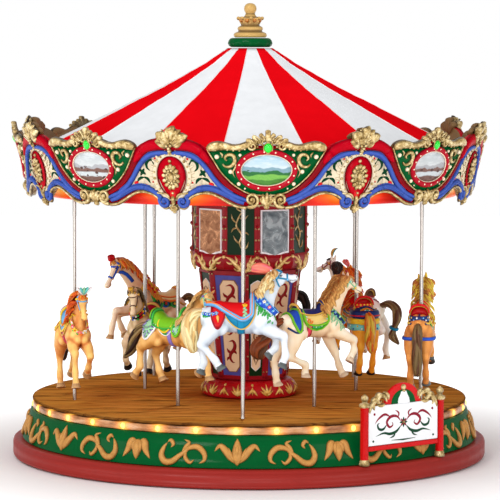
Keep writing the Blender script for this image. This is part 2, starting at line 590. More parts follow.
def deck_material():
    """Boards running across, with streaky stain, worn patches and dark seams."""
    m = Mat("deck_boards", 0.34, 0.0, 0.0)
    m.bsdf.inputs["Specular IOR Level"].default_value = 0.0
    x, y, z = m.xyz()
    board = m.math("DIVIDE", y, 0.0176)
    index = m.math("FLOOR", board)
    part = m.math("SUBTRACT", board, index)
    seam = m.math("MULTIPLY", m.math("LESS_THAN", m.math("ABSOLUTE", m.math("SUBTRACT", part, 0.5)), 0.482), 1.0)
    n = m.node("ShaderNodeCombineXYZ")
    m.link(m.math("ADD", x, m.math("MULTIPLY", index, 0.37)), n.inputs[0])
    m.link(y, n.inputs[1])
    m.link(m.math("MULTIPLY", index, 0.11), n.inputs[2])
    grain = m.noise(420.0, 5.0, 0.62, stretch=(0.055, 1.0, 1.0), distort=0.6, coords=n.outputs[0])
    blot = m.noise(24.0, 4.0, 0.6, stretch=(0.55, 1.3, 1.0), distort=0.8, coords=n.outputs[0])
    streak = m.noise(120.0, 3.0, 0.6, stretch=(0.12, 1.0, 1.0), distort=1.2, coords=n.outputs[0])
    col = m.ramp(grain, [(0.25, lin(134, 82, 34)), (0.5, lin(196, 130, 54)), (0.75, lin(232, 170, 88))])
    col = m.mix(m.remap(blot, 0.45, 0.56), col, m.ramp(streak, [(0.3, lin(164, 96, 34)), (0.7, lin(238, 168, 72))]))
    col = m.mix(m.remap(streak, 0.56, 0.66, 0.0, 0.85), col, lin(84, 44, 14))
    dark = m.noise(34.0, 4.0, 0.65, stretch=(0.35, 1.6, 1.0), distort=1.6, coords=n.outputs[0])
    col = m.mix(m.remap(dark, 0.58, 0.66, 0.0, 0.6), col, lin(96, 54, 22))
    col = m.mix(m.math("MULTIPLY", m.math("SUBTRACT", 1.0, seam), 0.7), col, lin(70, 36, 12))
    col = m.mix(m.math("MULTIPLY", m.attribute("wash"), 0.8), col, lin(58, 26, 14))
    m.color(col)
    m.rough(m.remap(grain, 0.3, 0.7, 0.22, 0.42))
    m.bump(m.math("ADD", m.math("MULTIPLY", grain, 0.5), seam), 0.25, 0.0003)
    return m.mat


def strip_material():
    """Clear copper-tinted strip: the glow of each lamp fades along it."""
    m = Mat("lamp_strip", 0.28, 0.0, 0.5)
    x, y, z = m.xyz()
    turn = m.math("ARCTAN2", x, m.math("MULTIPLY", y, -1.0))
    step = m.math("DIVIDE", m.math("ADD", turn, math.radians(3.2)), math.radians(10.0))
    near = m.math("ABSOLUTE", m.math("SUBTRACT", step, m.math("ROUND", step)))
    n = m.noise(300.0, 4.0, 0.6, stretch=(0.25, 0.25, 1.0))
    body = m.ramp(n, [(0.3, lin(116, 66, 34)), (0.5, lin(186, 128, 84)), (0.72, lin(222, 178, 140))])
    m.color(body)
    glow = m.math("POWER", m.remap(near, 0.0, 0.36, 1.0, 0.0), 1.6)
    m.link(m.ramp(glow, [(0.0, (0.0, 0.0, 0.0)), (0.3, (0.30, 0.085, 0.006)), (0.7, (0.85, 0.36, 0.03)), (1.0, (1.0, 0.62, 0.1))]), m.bsdf.inputs["Emission Color"])
    m.bsdf.inputs["Emission Strength"].default_value = 1.1
    m.bump(n, 0.1, 0.0002)
    return m.mat


def lamp_material():
    m = Mat("lamp_lens", 0.2)
    m.color(lin(255, 214, 60))
    n = m.noise(900.0, 1.0)
    m.link(m.mix(n, (1.0, 0.66, 0.05), (1.0, 0.86, 0.25)), m.bsdf.inputs["Emission Color"])
    m.bsdf.inputs["Emission Strength"].default_value = 2.2
    return m.mat


# ------------------------------------------------------------------ base
def base_piece():
    b = Build()
    prof = [(0.0, 0.3), (136.6, 0.3), (138.2, 0.05), (139.5, 0.7), (140.0, 2.0), (140.0, 2.0), (140.0, 5.2), (140.0, 8.4), (140.0, 8.4),
            (139.6, 9.7), (138.5, 10.5), (137.0, 10.7), (135.0, 10.6), (132.0, 10.5), (126.2, 10.5), (126.0, 10.4), (126.0, 3.2),
            (126.0, 3.2), (9.0, 3.2), (9.0, 3.2), (9.0, 26.2), (9.0, 26.2), (0.0, 26.2)]
    turned(b, prof, 192)
    obj = b.object("base_rim_and_floor", [BRICK])
    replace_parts(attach(obj, "base"), "base_pan")
    s = Build()
    turned(s, [(0.0, 26.5), (2.7, 26.5), (3.0, 26.8), (3.0, 33.8), (2.6, 34.2), (0.0, 34.2)], 24)
    obj = s.object("spindle_pin", [STEEL])
    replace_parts(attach(obj, "base"), "spindle")


def fascia_r(z):
    return 134.4 + (129.2 - 134.4) * (z - 10.7) / (28.5 - 10.7)


def fascia_surf(deg0, zc=19.4):
    def surf(u, z, h):
        zz = zc + z
        return at(fascia_r(zz) + h, deg0 + math.degrees(u / 131.5), zz + h * 0.28)
    return surf


def lotus(b, deg):
    s = fascia_surf(deg)
    leaf(b, s, [(0, -7.0), (0, -2), (0, 7.6)], 3.1, 2.3, peak=0.55)
    flat(b, s, [(-2.2, -4.6), (0, -6.6), (2.2, -4.6), (4.6, 0.2), (2.2, -0.4), (0, 1.2), (-2.2, -0.4), (-4.6, 0.2)], -0.1, 0.9, bevel=0.4, smooth=True)
    for k in (-1, 1):
        leaf(b, s, [(k * 0.4, -6.0), (k * 3.6, -2.8), (k * 6.4, 1.0), (k * 9.6, 3.4), (k * 12.6, 0.6)], 2.0, 1.7, peak=0.45)
        leaf(b, s, [(k * 1.0, -5.6), (k * 3.4, -1.6), (k * 5.0, 2.6)], 1.3, 1.9, peak=0.5)
    leaf(b, s, [(0, -4.4), (0, 0.6), (0, 5.2)], 1.5, 3.0, peak=0.5)


def bell(b, deg):
    s = fascia_surf(deg)
    for k in (-1, 1):
        leaf(b, s, [(k * 1.2, 4.6), (k * 4.0, 3.6), (k * 5.6, -0.6), (k * 8.6, -5.0)], 2.3, 1.9, peak=0.4)
    leaf(b, s, [(0, 5.2), (0, 0.5), (0, -5.8)], 2.7, 2.6, peak=0.55)
    for k in (-1, 1):
        leaf(b, s, [(k * 0.4, 5.0), (k * 2.2, 2.0), (k * 1.6, -2.6)], 1.5, 2.3, peak=0.5)


def scroll(b, deg, k):
    """A branching S scroll; k is the side its big open curl is on."""
    s = fascia_surf(deg)
    leaf(b, s, [(k * 9.2, 4.4), (k * 11.0, 1.6), (k * 12.0, -2.4), (k * 9.6, -5.8), (k * 5.6, -5.6), (k * 1.6, -2.4), (k * -2.4, 0.6), (k * -5.6, 3.6)], 1.9, 1.8, peak=0.42)
    leaf(b, s, [(k * 9.2, 4.6), (k * 7.2, 5.6), (k * 5.6, 3.6), (k * 7.0, 1.8)], 1.2, 1.4, peak=0.5)
    leaf(b, s, [(k * 0.4, -1.4), (k * -1.6, 2.2), (k * -3.6, 4.8), (k * -0.4, 6.4)], 1.2, 1.5, peak=0.4)
    leaf(b, s, [(k * 1.6, -2.8), (k * -3.0, 1.6), (k * -8.4, 2.6), (k * -12.2, -0.6), (k * -12.6, -4.2), (k * -9.6, -6.2)], 1.7, 1.7, peak=0.45)
    leaf(b, s, [(k * -2.2, 0.6), (k * -1.8, -3.0), (k * -4.6, -5.8), (k * -6.8, -4.2)], 1.2, 1.4, peak=0.4)


def fascia_piece():
    b = Build()
    turned(b, [(124.8, 28.2), (128.9, 28.4), (129.2, 28.2), (129.2, 28.2), (131.0, 22.2), (132.8, 16.0), (134.3, 11.1), (134.3, 11.1), (134.0, 10.9), (127.6, 10.9), (124.8, 28.2)],
           192, 0)
    g = Build()
    for k in range(-3, 4):
        c = -2.8 + 49.9 * k
        lotus(g, c)
        scroll(g, c + 13.4, 1)
        bell(g, c + 24.7)
        scroll(g, c + 36.6, -1)
    o = len(b.v)
    b.v += g.v
    b.w += g.w
    b.f += [tuple(i + o for i in f) for f in g.f]
    b.m += [1] * len(g.f)
    b.s += g.s
    obj = b.object("fascia_with_reliefs", [GREEN, TAN_GOLD])
    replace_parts(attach(obj, "base"), "green_fascia")


def strip_pieces():
    b = Build()
    turned(b, [(124.8, 28.7), (128.0, 28.7), (128.5, 29.1), (128.6, 30.7), (128.4, 32.4), (128.0, 32.7), (124.8, 32.7), (124.8, 28.7)], 240)
    obj = b.object("lamp_strip_body", [strip_material()])
    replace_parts(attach(obj, "base"), "light_strip")
    b = Build()
    for k in range(36):
        deg = -3.2 + 10 * k
        c = np.array(at(128.3, deg, 30.8))
        out = np.array(at(1.0, deg, 0.0))
        side = np.cross(out, (0, 0, 1))
        ball(b, c, 1, axes=(side * 1.5, np.array((0, 0, 1.5)), out * 0.9), seg=12, rings=7)
    obj = b.object("strip_lamps", [lamp_material()])
    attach(obj, "base")


# ------------------------------------------------------------------ deck
def deck_piece():
    b = Build()
    holes = [(h["ring"], h["at"]) for h in HORSES.values()]
    prof = [(3.5, 34.9), (60.0, 34.9), (100.0, 34.9), (127.3, 34.9), (128.2, 34.6), (128.5, 34.0), (128.2, 33.4), (127.4, 33.2), (13.0, 33.2), (11.0, 26.8), (3.5, 26.8)]
    turned(b, prof, 192, closed=True, wash=[0, 0, 0, 0.25, 0.9, 1, 1, 1, 1, 1, 1] * 192)
    obj = b.object("deck_planked", [deck_material(), STEEL])
    # pole holes
    cb = Build()
    for ring, deg in holes:
        x, y, _ = at(ring, deg, 0)
        pts = [(x, y, 20.0), (x, y, 40.0)]
        tube(cb, pts, 1.55, sides=16)
    cutter = cb.object("hole_cutter", [])
    mod = obj.modifiers.new("holes", "BOOLEAN")
    mod.operation, mod.solver, mod.object = "DIFFERENCE", "EXACT", cutter
    dg = bpy.context.evaluated_depsgraph_get()
    mesh = bpy.data.meshes.new_from_object(obj.evaluated_get(dg))
    obj.modifiers.clear()
    obj.data = mesh
    bpy.data.objects.remove(cutter)
    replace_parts(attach(obj, "turntable"), "deck")


# ------------------------------------------------------------------ centre column
COLUMN_RED = paint("column_red", lin(152, 12, 26), 0.34, wash=lin(70, 4, 10), coat=0.3, mottle=0.3, scale=180)
LOWER = (-49.0, 45.0)
UPPER = (-64.5, 39.0)


def face_surf(e0, e1, r_of_z, out=0.0):
    """A flat face between two corners: u runs from its middle, z is height, h stands off it."""
    mid, half = math.radians((e0 + e1) / 2), math.radians((e1 - e0) / 2)
    nx, ny = math.sin(mid), -math.cos(mid)
    tx, ty = math.cos(mid), math.sin(mid)

    def surf(u, z, h):
        r = r_of_z(z) * math.cos(half) + h + out
        return (nx * r + tx * u, ny * r + ty * u, z)

    def width(z):
        return r_of_z(z) * math.sin(half)
    return surf, width


def poly_turned(b, edges, sections, mat=0):
    verts = [at(r, e, z) for r, z in sections for e in edges]
    n = len(edges)
    faces = grid_faces(len(sections), n, wrap_c=True)
    faces += [tuple(range(n - 1, -1, -1)), tuple((len(sections) - 1) * n + k for k in range(n))]
    b.add(verts, faces, mat, False)


def column_pieces():
    # foot: domed red ring with gold leaves
    b = Build()
    turned(b, [(0.0, 35.2), (26.9, 35.2), (27.6, 35.5), (27.9, 36.4), (27.9, 38.8), (27.6, 40.4), (27.0, 42.1), (26.2, 43.4), (25.0, 44.5), (23.8, 45.0), (0.0, 45.2)], 80)

    def foot(deg0):
        def surf(u, z, h):
            r = 27.9 - 2.6 * max(0.0, (z - 38.8) / 5.6) ** 2
            return at(r + h, deg0 + math.degrees(u / 27.4), z)
        return surf
    for k in range(20):
        s = foot(4.0 + 18.0 * k)
        if k % 2:
            leaf(b, s, [(0, 36.6), (0, 39.6), (0, 43.8)], 0.95, 0.9, 1)
            for q in (-1, 1):
                leaf(b, s, [(0, 37.2), (q * 1.6, 39.9), (q * 3.3, 42.4)], 0.9, 0.8, 1)
                leaf(b, s, [(0, 36.9), (q * 2.2, 38.6), (q * 3.9, 40.0)], 0.62, 0.7, 1)
        else:
            bead(b, s, 0, 43.2, 0.8, 1, high=0.7)
            leaf(b, s, [(0, 42.0), (0, 40.0), (0, 37.4)], 0.75, 0.8, 1)
            for q in (-1, 1):
                leaf(b, s, [(0, 41.0), (q * 1.4, 39.0), (q * 3.1, 37.0)], 0.8, 0.7, 1)
    foot_red = paint("foot_red", lin(182, 18, 24), 0.3, wash=lin(80, 8, 10), coat=0.4, mottle=0.3, scale=200)
    foot_gold = antique_gold("foot_gold", lin(190, 132, 42), lin(226, 178, 78), lin(246, 214, 130), lin(104, 44, 10), 0.34)
    obj = b.object("column_foot_ring", [foot_red, foot_gold])
    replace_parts(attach(obj, "turntable"), "column_foot")

    # shaft: ten flared faces, wide violet and narrow green, in red frames
    b = Build()
    rz = lambda z: 23.0 + (30.9 - 23.0) * ((z - 45.5) / 65.2)
    edges = [LOWER[0] + 72 * k + d for k in range(5) for d in (0.0, LOWER[1])]
    poly_turned(b, edges, [(22.2, 45.5), (30.2, 110.7)], 0)
    for k in range(5):
        for wide in (True, False):
            e0 = LOWER[0] + 72 * k + (0.0 if wide else LOWER[1])
            e1 = e0 + (LOWER[1] if wide else 72 - LOWER[1])
            s, w = face_surf(e0, e1, rz, -0.9)
            z0, z1 = 46.6, 110.4
            frame_w = 2.7 if wide else 1.7
            # raised red frame: two sides, top and foot
            for q in (-1, 1):
                flat(b, s, [(q * w(z0), z0), (q * w(z1), z1), (q * (w(z1) - frame_w), z1), (q * (w(z0) - frame_w), z0)], 0, 1.0, 0, bevel=0.25)
            flat(b, s, [(-w(z0), z0 - 0.6), (w(z0), z0 - 0.6), (w(z0 + 1.6), z0 + 1.6), (-w(z0 + 1.6), z0 + 1.6)], 0, 1.0, 0, bevel=0.25)
            zt = 107.6 if wide else 108.6
            flat(b, s, [(-w(zt), zt), (w(zt), zt), (w(z1), z1), (-w(z1), z1)], 0, 1.0, 0, bevel=0.25)
            # coloured panel with a thin dark line round it
            zb = z0 + 1.6
            flat(b, s, [(-w(zb) + frame_w, zb), (w(zb) - frame_w, zb), (w(zt) - frame_w, zt), (-w(zt) + frame_w, zt)], 0, 0.35, 1 if wide else 2)
            # cartouche with cut corners: beige edged in brown on violet, edged in white on green
            ca, cb_ = (50.6, 104.6) if wide else (51.4, 104.8)

            def half(z, wide=wide, w=w, frame_w=frame_w):
                return w(z) * 0.50 if wide else w(z) - frame_w - 1.5
            for grow, lift, mat in ((0.42, 0.75, 7 if wide else 6), (0.0, 0.98, 3)):
                cut = 2.4 if wide else 1.7
                lo, hi = ca - grow, cb_ + grow
                h0, h1 = half(ca) + grow, half(cb_) + grow
                if wide:
                    o = [(-h0 + cut, lo), (h0 - cut, lo), (h0, lo + cut * 1.4), (h1, hi - cut * 1.4), (h1 - cut, hi), (-h1 + cut, hi), (-h1, hi - cut * 1.4), (-h0, lo + cut * 1.4)]
                else:
                    o = [(0, lo), (h0 * 0.5, lo + 1.2), (h0, lo + 2.6), (h1, hi - 2.6), (h1 * 0.5, hi - 1.0), (0, hi), (-h1 * 0.5, hi - 1.0), (-h1, hi - 2.6), (-h0, lo + 2.6), (-h0 * 0.5, lo + 1.2)]
                flat(b, s, o, 0, lift, mat, bevel=0.2)
            up = lambda u, z, h, s=s: s(u, z, h + 0.95)
            if wide:
                for q, zc in ((1, 95.0), (-1, 78.5), (1, 62.0)):
                    sw = 1.02 + 0.3 * (zc - 61.5) / 31.0
                    leaf(b, up, [(q * -1.6 * sw, zc + 6.2), (q * 1.0 * sw, zc + 6.9), (q * 2.3 * sw, zc + 4.6), (q * 1.5 * sw, zc + 1.6), (q * -0.5 * sw, zc - 0.8), (q * -1.0 * sw, zc - 3.6), (q * 0.4 * sw, zc - 5.8), (q * 2.0 * sw, zc - 6.0)], 1.15, 0.55, 4, peak=0.4)
                    leaf(b, up, [(q * -0.2 * sw, zc - 0.4), (q * -2.0 * sw, zc + 0.6), (q * -2.9 * sw, zc + 2.4)], 0.85, 0.5, 4)
                    leaf(b, up, [(q * 1.0 * sw, zc + 1.2), (q * 2.4 * sw, zc + 0.2), (q * 3.2 * sw, zc - 1.0)], 0.8, 0.5, 4)
                    leaf(b, up, [(q * -0.8 * sw, zc - 3.2), (q * -2.4 * sw, zc - 3.6), (q * -3.0 * sw, zc - 5.2)], 0.75, 0.5, 4)
            else:
                for zc in (97.0, 84.0, 71.0, 58.5):
                    sw = 0.5 + 0.3 * (zc - 58.5) / 38.0
                    for q in (-1, 1):
                        leaf(b, up, [(0, zc + 3.6), (q * 2.0 * sw, zc + 2.4), (q * 2.6 * sw, zc + 0.4), (q * 1.2 * sw, zc - 1.6), (0, zc - 3.8)], 0.42, 0.4, 8)
                    bead(b, up, 0, zc + 0.4, 0.5, 4, high=0.4, seg=7, rings=4)
            # gold studs down the frames
            for q in (-1, 1):
                for z in (50.5, 60, 70, 80, 90, 100, 108.2):
                    bead(b, s, q * (w(z) - frame_w * 0.5), z, 0.55, 5, base=1.0, high=0.45, seg=7, rings=4)
    scroll_red = paint("scroll_red", lin(140, 12, 18), 0.35, wash=lin(80, 6, 8))
    brown_line = paint("cartouche_line", lin(140, 96, 60), 0.4, wash=lin(70, 40, 20))
    vine = paint("vine_brown", lin(128, 84, 46), 0.4, wash=lin(60, 34, 16))
    column_violet = paint("column_violet", lin(84, 84, 168), 0.36, wash=lin(36, 34, 88), mottle=0.25, scale=160)
    obj = b.object("column_shaft_panels", [COLUMN_RED, column_violet, DARK_GREEN, BEIGE, scroll_red, GOLD, WHITE, brown_line, vine])
    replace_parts(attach(obj, "turntable"), "column_shaft")

    # band between shaft and drum: gold antler scrolls rising to each post of the drum, dropping to each post of the shaft
    b = Build()
    edges = [UPPER[0] + 72 * k + d for k in range(5) for d in (0.0, UPPER[1])]
    lows = [LOWER[0] + 72 * k + d for k in range(5) for d in (0.0, LOWER[1])]
    poly_turned(b, edges, [(31.2, 110.9), (33.4, 111.6), (34.6, 113.2), (35.3, 115.8), (35.3, 118.4), (34.6, 120.2)], 0)

    def ring(deg0):
        def surf(u, z, h):
            phi = deg0 + math.degrees(u / 34.5)
            for i, e in enumerate(edges):
                e1 = edges[(i + 1) % 10] + (360 if i == 9 else 0)
                for turn in (-360, 0, 360):
                    if e - 1e-6 <= phi + turn <= e1 + 1e-6:
                        mid, hf = (e + e1) / 2, (e1 - e) / 2
                        r = 35.0 - 0.05 * abs(z - 117.0) ** 1.6
                        r *= math.cos(math.radians(hf)) / math.cos(math.radians(phi + turn - mid))
                        return at(r + h, phi, z)
            return at(35.0 + h, phi, z)
        return surf
    marks = sorted([(e % 360, 1) for e in edges] + [(e % 360, 0) for e in lows])
    for i, (e, top) in enumerate(marks):
        if top:
            continue
        s = ring(e)
        for q, (n, _) in ((-1, marks[i - 1]), (1, marks[(i + 1) % len(marks)])):
            span = abs((n - e + 180) % 360 - 180) / 57.3 * 34.5
            p = lambda f, z: (q * span * f, z)
            leaf(b, s, [p(0.0, 110.6), p(0.2, 111.4), p(0.42, 114.2), p(0.66, 117.6), p(0.97, 119.3)], 1.45, 1.4, 1, peak=0.45)
            leaf(b, s, [p(0.26, 112.0), p(0.20, 114.6), p(0.30, 117.2)], 0.75, 1.0, 1)
            leaf(b, s, [p(0.48, 114.6), p(0.40, 117.2), p(0.50, 119.8)], 0.8, 1.0, 1)
            leaf(b, s, [p(0.52, 115.6), p(0.74, 115.2), p(0.90, 116.6)], 0.75, 1.0, 1)
            leaf(b, s, [p(0.20, 111.0), p(0.42, 111.2), p(0.56, 112.6)], 0.6, 0.9, 1)
        bead(b, s, 0, 110.9, 1.3, 1, high=1.2)
    for e in edges:
        bead(b, ring(e), 0, 119.0, 1.2, 1, high=1.0)
    obj = b.object("drum_band_swags", [COLUMN_RED, GOLD_BRIGHT])
    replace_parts(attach(obj, "turntable"), "drum_band")

    # drum: mirrors in white scalloped frames between green panels
    b = Build()
    rd = lambda z: 34.4
    poly_turned(b, edges, [(33.4, 118.0), (33.4, 153.9)], 0)
    for k in range(5):
        for wide in (True, False):
            e0 = UPPER[0] + 72 * k + (0.0 if wide else UPPER[1])
            e1 = e0 + (UPPER[1] if wide else 72 - UPPER[1])
            s, w = face_surf(e0, e1, rd, -0.9)
            half = w(130)
            post = 1.8
            for q in (-1, 1):
                flat(b, s, [(q * half, 119.4), (q * half, 153.9), (q * (half - post), 153.9), (q * (half - post), 119.4)], 0, 1.2, 0, bevel=0.35)
                for z in (122.6, 129.0, 135.6, 142.2, 148.8):
                    bead(b, s, q * (half - post * 0.45), z, 0.7, 5, base=1.2, high=0.5, seg=7, rings=4)
            inner = half - post
            if wide:
                # white frame, arched foot with a point, mirror inside
                top, low = 146.6, 119.4
                flat(b, s, [(-inner, 118.6), (inner, 118.6), (inner, 153.9), (-inner, 153.9)], 0, 0.3, 0)
                outer = [(-inner + 0.4, top), (-inner + 0.4, low + 1.8), (-inner * 0.62, low + 1.4), (-inner * 0.3, low + 0.4), (0, low - 1.2), (inner * 0.3, low + 0.4),
                         (inner * 0.62, low + 1.4), (inner - 0.4, low + 1.8), (inner - 0.4, top)]
                flat(b, s, outer, 0, 1.1, 3, bevel=0.25)
                glass = [(-inner + 1.3, top - 0.9), (-inner + 1.3, low + 2.8), (-inner * 0.5, low + 2.2), (0, low + 0.5), (inner * 0.5, low + 2.2), (inner - 1.3, low + 2.8), (inner - 1.3, top - 0.9)]
                flat(b, s, glass, 0.5, 1.18, 6 if k == 0 else 4)
            else:
                flat(b, s, [(-inner, 118.6), (inner, 118.6), (inner, 153.9), (-inner, 153.9)], 0, 0.45, 2)
                up = lambda u, z, h, s=s: s(u, z, h + 0.45)
                stem = [(1.6, 122.0), (-0.8, 127.0), (0.6, 132.0), (-2.6, 137.0), (-1.4, 142.0), (1.2, 146.6), (0.2, 151.0)]
                leaf(b, up, stem, 0.66, 0.8, 5, peak=0.3)
                for a, d, e in (((-0.5, 126.6), (-2.8, 128.6), (-4.6, 131.6)), ((0.4, 131.8), (3.0, 133.2), (4.8, 131.8)), ((-1.9, 136.0), (-4.4, 135.4), (-5.8, 133.2)),
                                ((-2.4, 138.6), (-4.8, 141.0), (-5.6, 144.0)), ((-1.2, 142.0), (2.0, 141.2), (4.2, 143.4)), ((0.6, 145.4), (-2.0, 147.0), (-3.4, 149.8)), ((1.0, 123.4), (3.4, 124.8), (4.6, 128.0))):
                    leaf(b, up, [a, d, e], 0.55, 0.7, 5)
    for e in edges:
        for z, r in ((121.4, 1.4), (136.5, 1.15), (150.6, 1.25)):
            ball(b, at(34.6, e, z), r, 0, seg=8, rings=6, wash_low=0.4)
    mirrors = []
    for name, lo, hi, metal in (("old_mirror", lin(62, 70, 76), lin(158, 166, 168), 0.55), ("old_mirror_warm", lin(120, 70, 44), lin(214, 160, 118), 0.5)):
        glass = Mat(name, 0.16, metal)
        n = glass.noise(150.0, 5.0, 0.65, distort=1.2)
        glass.color(glass.mix(glass.remap(n, 0.35, 0.7), lo, hi))
        glass.rough(glass.remap(n, 0.3, 0.7, 0.10, 0.36))
        glass.bump(glass.noise(60.0, 3.0), 0.25, 0.001)
        mirrors.append(glass.mat)
    obj = b.object("mirror_drum_panels", [COLUMN_RED, VIOLET, DARK_GREEN, WHITE, mirrors[0], GOLD, mirrors[1]])
    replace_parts(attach(obj, "turntable"), "mirror_drum")


# ------------------------------------------------------------------ canopy
ROOF = [(13.5, 240.0), (15.9, 238.3), (18.5, 236.5), (21.4, 234.7), (24.0, 233.0), (26.5, 231.2), (29.6, 229.5), (32.8, 227.7), (36.2, 226.0),
        (39.1, 224.2), (42.2, 222.5), (45.5, 220.7), (48.9, 219.0), (52.1, 217.1), (55.7, 215.4), (59.1, 213.7), (62.5, 211.9), (67.0, 210.0),
        (70.3, 208.3), (74.0, 206.5), (77.0, 204.8), (80.5, 203.1), (87.0, 199.9), (94.0, 196.4), (100.0, 193.4), (108.0, 189.5), (116.0, 185.7),
        (124.0, 181.8), (131.0, 178.5)]


def roof_piece():
    b = Build()
    inner = []
    for i, (r, z) in enumerate(ROOF):
        a, c = ROOF[max(i - 1, 0)], ROOF[min(i + 1, len(ROOF) - 1)]
        dr, dz = c[0] - a[0], c[1] - a[1]
        n = math.hypot(dr, dz)
        inner.append((r + dz / n * 2.2, z - dr / n * 2.2))
    prof = ROOF + [(131.2, 177.2), (128.0, 162.8), (125.6, 162.8), (128.6, 176.2)] + inner[::-1][1:]
    n = len(prof)
    turned(b, prof, 192, closed=True)
    steps = len(ROOF)
    for i, f in enumerate(b.f):
        j = f[0] % n
        if j >= steps - 1:
            b.m[i] = 1
    # a raised line between the stripes
    for k in range(16):
        deg = 3.9 + 11.25 + 22.5 * k
        pts = [at(r, deg, z - 0.05) for r, z in ROOF[1:-1]]
        tube(b, pts, 0.42, 0.34, sides=6, mat=0)
    obj = b.object("roof_striped", [stripes_material(), RED])
    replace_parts(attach(obj, "turntable"), "canopy")

    # ceiling disc and its red rim
    b = Build()
    turned(b, [(119.4, 162.3), (122.2, 162.3), (122.6, 161.6), (122.6, 161.6), (122.9, 158.0), (122.4, 156.4), (122.9, 155.4), (122.3, 154.5), (120.6, 154.3), (120.6, 154.3), (70.0, 154.3),
               (24.0, 154.3), (24.0, 154.3), (24.0, 157.2), (24.0, 157.2), (70.0, 157.2), (119.4, 157.2), (119.4, 157.2)], 192, closed=True)
    obj = b.object("ceiling_disc", [ceiling_material()])
    cb = Build()
    for h in HORSES.values():
        x, y, _ = at(h["ring"], h["at"], 0)
        tube(cb, [(x, y, 150.0), (x, y, 160.0)], 1.55, sides=16)
    cutter = cb.object("hole_cutter", [])
    mod = obj.modifiers.new("holes", "BOOLEAN")
    mod.operation, mod.solver, mod.object = "DIFFERENCE", "EXACT", cutter
    dg = bpy.context.evaluated_depsgraph_get()
    mesh = bpy.data.meshes.new_from_object(obj.evaluated_get(dg))
    obj.modifiers.clear()
    obj.data = mesh
    bpy.data.objects.remove(cutter)
    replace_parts(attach(obj, "turntable"), "ceiling")


def ceiling_material():
    """Red with the warm light of the lamps hidden above each medallion."""
    m = Mat("ceiling_red", 0.34, 0.0, 0.3)
    x, y, z = m.xyz()
    turn = m.math("ARCTAN2", x, m.math("MULTIPLY", y, -1.0))
    step = m.math("DIVIDE", m.math("SUBTRACT", turn, math.radians(3.9 + 22.5)), math.radians(45.0))
    near = m.math("ABSOLUTE", m.math("SUBTRACT", step, m.math("ROUND", step)))
    rad = m.math("SQRT", m.math("ADD", m.math("MULTIPLY", x, x), m.math("MULTIPLY", y, y)))
    edge = m.remap(rad, 0.108, 0.121)
    up = m.remap(z, 0.1535, 0.159)
    glow = m.math("MULTIPLY", m.math("MULTIPLY", m.remap(near, 0.08, 0.33, 1.0, 0.0), edge), m.math("ADD", m.math("MULTIPLY", up, 0.6), 0.4))
    n = m.noise(120.0, 3.0)
    m.color(m.mix(n, lin(170, 14, 20), lin(206, 24, 26)))
    m.link(m.ramp(glow, [(0.0, (0.05, 0.0, 0.0)), (0.35, (0.50, 0.03, 0.0)), (0.7, (0.9, 0.20, 0.01)), (1.0, (1.0, 0.50, 0.06))]), m.bsdf.inputs["Emission Color"])
    m.bsdf.inputs["Emission Strength"].default_value = 0.7
    m.bump(n, 0.08, 0.0002)
    return m.mat


def top_pieces():
    b = Build()
    turned(b, [(4.2, 240.6), (11.0, 240.6), (12.3, 241.4), (12.9, 242.8), (12.7, 244.4), (11.8, 245.6), (10.6, 246.0), (4.2, 246.0)], 96, closed=True,
           wobble=lambda r, z, deg: (0.25 * math.cos(math.radians(deg * 16)) if z < 243 and r > 9 else 0.0))
    obj = b.object("collar_ring", [GREEN])
    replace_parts(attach(obj, "turntable"), "canopy_collar")
    b = Build()
    prof = [(0.0, 246.3), (8.9, 246.3), (9.7, 246.9), (9.8, 247.9), (9.2, 248.9), (8.0, 249.4), (7.1, 249.8), (7.0, 250.4), (7.5, 251.2), (7.2, 252.3), (6.2, 252.9), (5.5, 253.2), (5.4, 253.8),
            (5.8, 255.4), (6.4, 256.6), (7.0, 257.3), (6.6, 257.8), (5.6, 257.4), (4.0, 258.2), (3.2, 259.2), (2.7, 260.2), (2.9, 260.9), (3.5, 262.0), (3.7, 263.2), (3.4, 264.6), (2.5, 265.8), (1.2, 266.4), (0.0, 266.5)]

    def crown(r, z, deg):
        if 254.5 < z < 258.0 and r > 4.5:
            return 1.0 * math.cos(math.radians(deg - 4) * 8) - 0.4
        return 0.0
    turned(b, prof, 72, wobble=crown, wash=[(0.9 if k in (5, 6, 7, 10, 11, 12, 18, 20) else 0.1) for k in range(len(prof))] * 72)
    for k in range(8):
        c = np.array(at(7.0, 4 + 45 * k, 257.5))
        ball(b, c, 1.1, 0, seg=10, rings=7, wash_low=0.7)
        ball(b, at(5.8, 4 + 22.5 + 45 * k, 256.2), 1.2, 1, seg=10, rings=7, wash_low=0.7)
    amber = paint("finial_amber", lin(206, 132, 48), 0.2, wash=lin(90, 40, 8), coat=0.8)
    obj = b.object("finial_crown", [paint("finial_gold", lin(214, 174, 104), 0.36, wash=lin(84, 56, 22), mottle=0.2, scale=350, coat=0.3, metallic=0.1), amber])
    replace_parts(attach(obj, "turntable"), "finial")


# ------------------------------------------------------------------ sign
SIGN_AT, SIGN_HALF, SIGN_R = 39.4, 28.4, 134.9


def sign_surf(u, z, h):
    a = math.radians(SIGN_AT)
    nx, ny, tx, ty = math.sin(a), -math.cos(a), math.cos(a), math.sin(a)
    return (nx * (SIGN_R + h) + tx * u, ny * (SIGN_R + h) + ty * u, z)


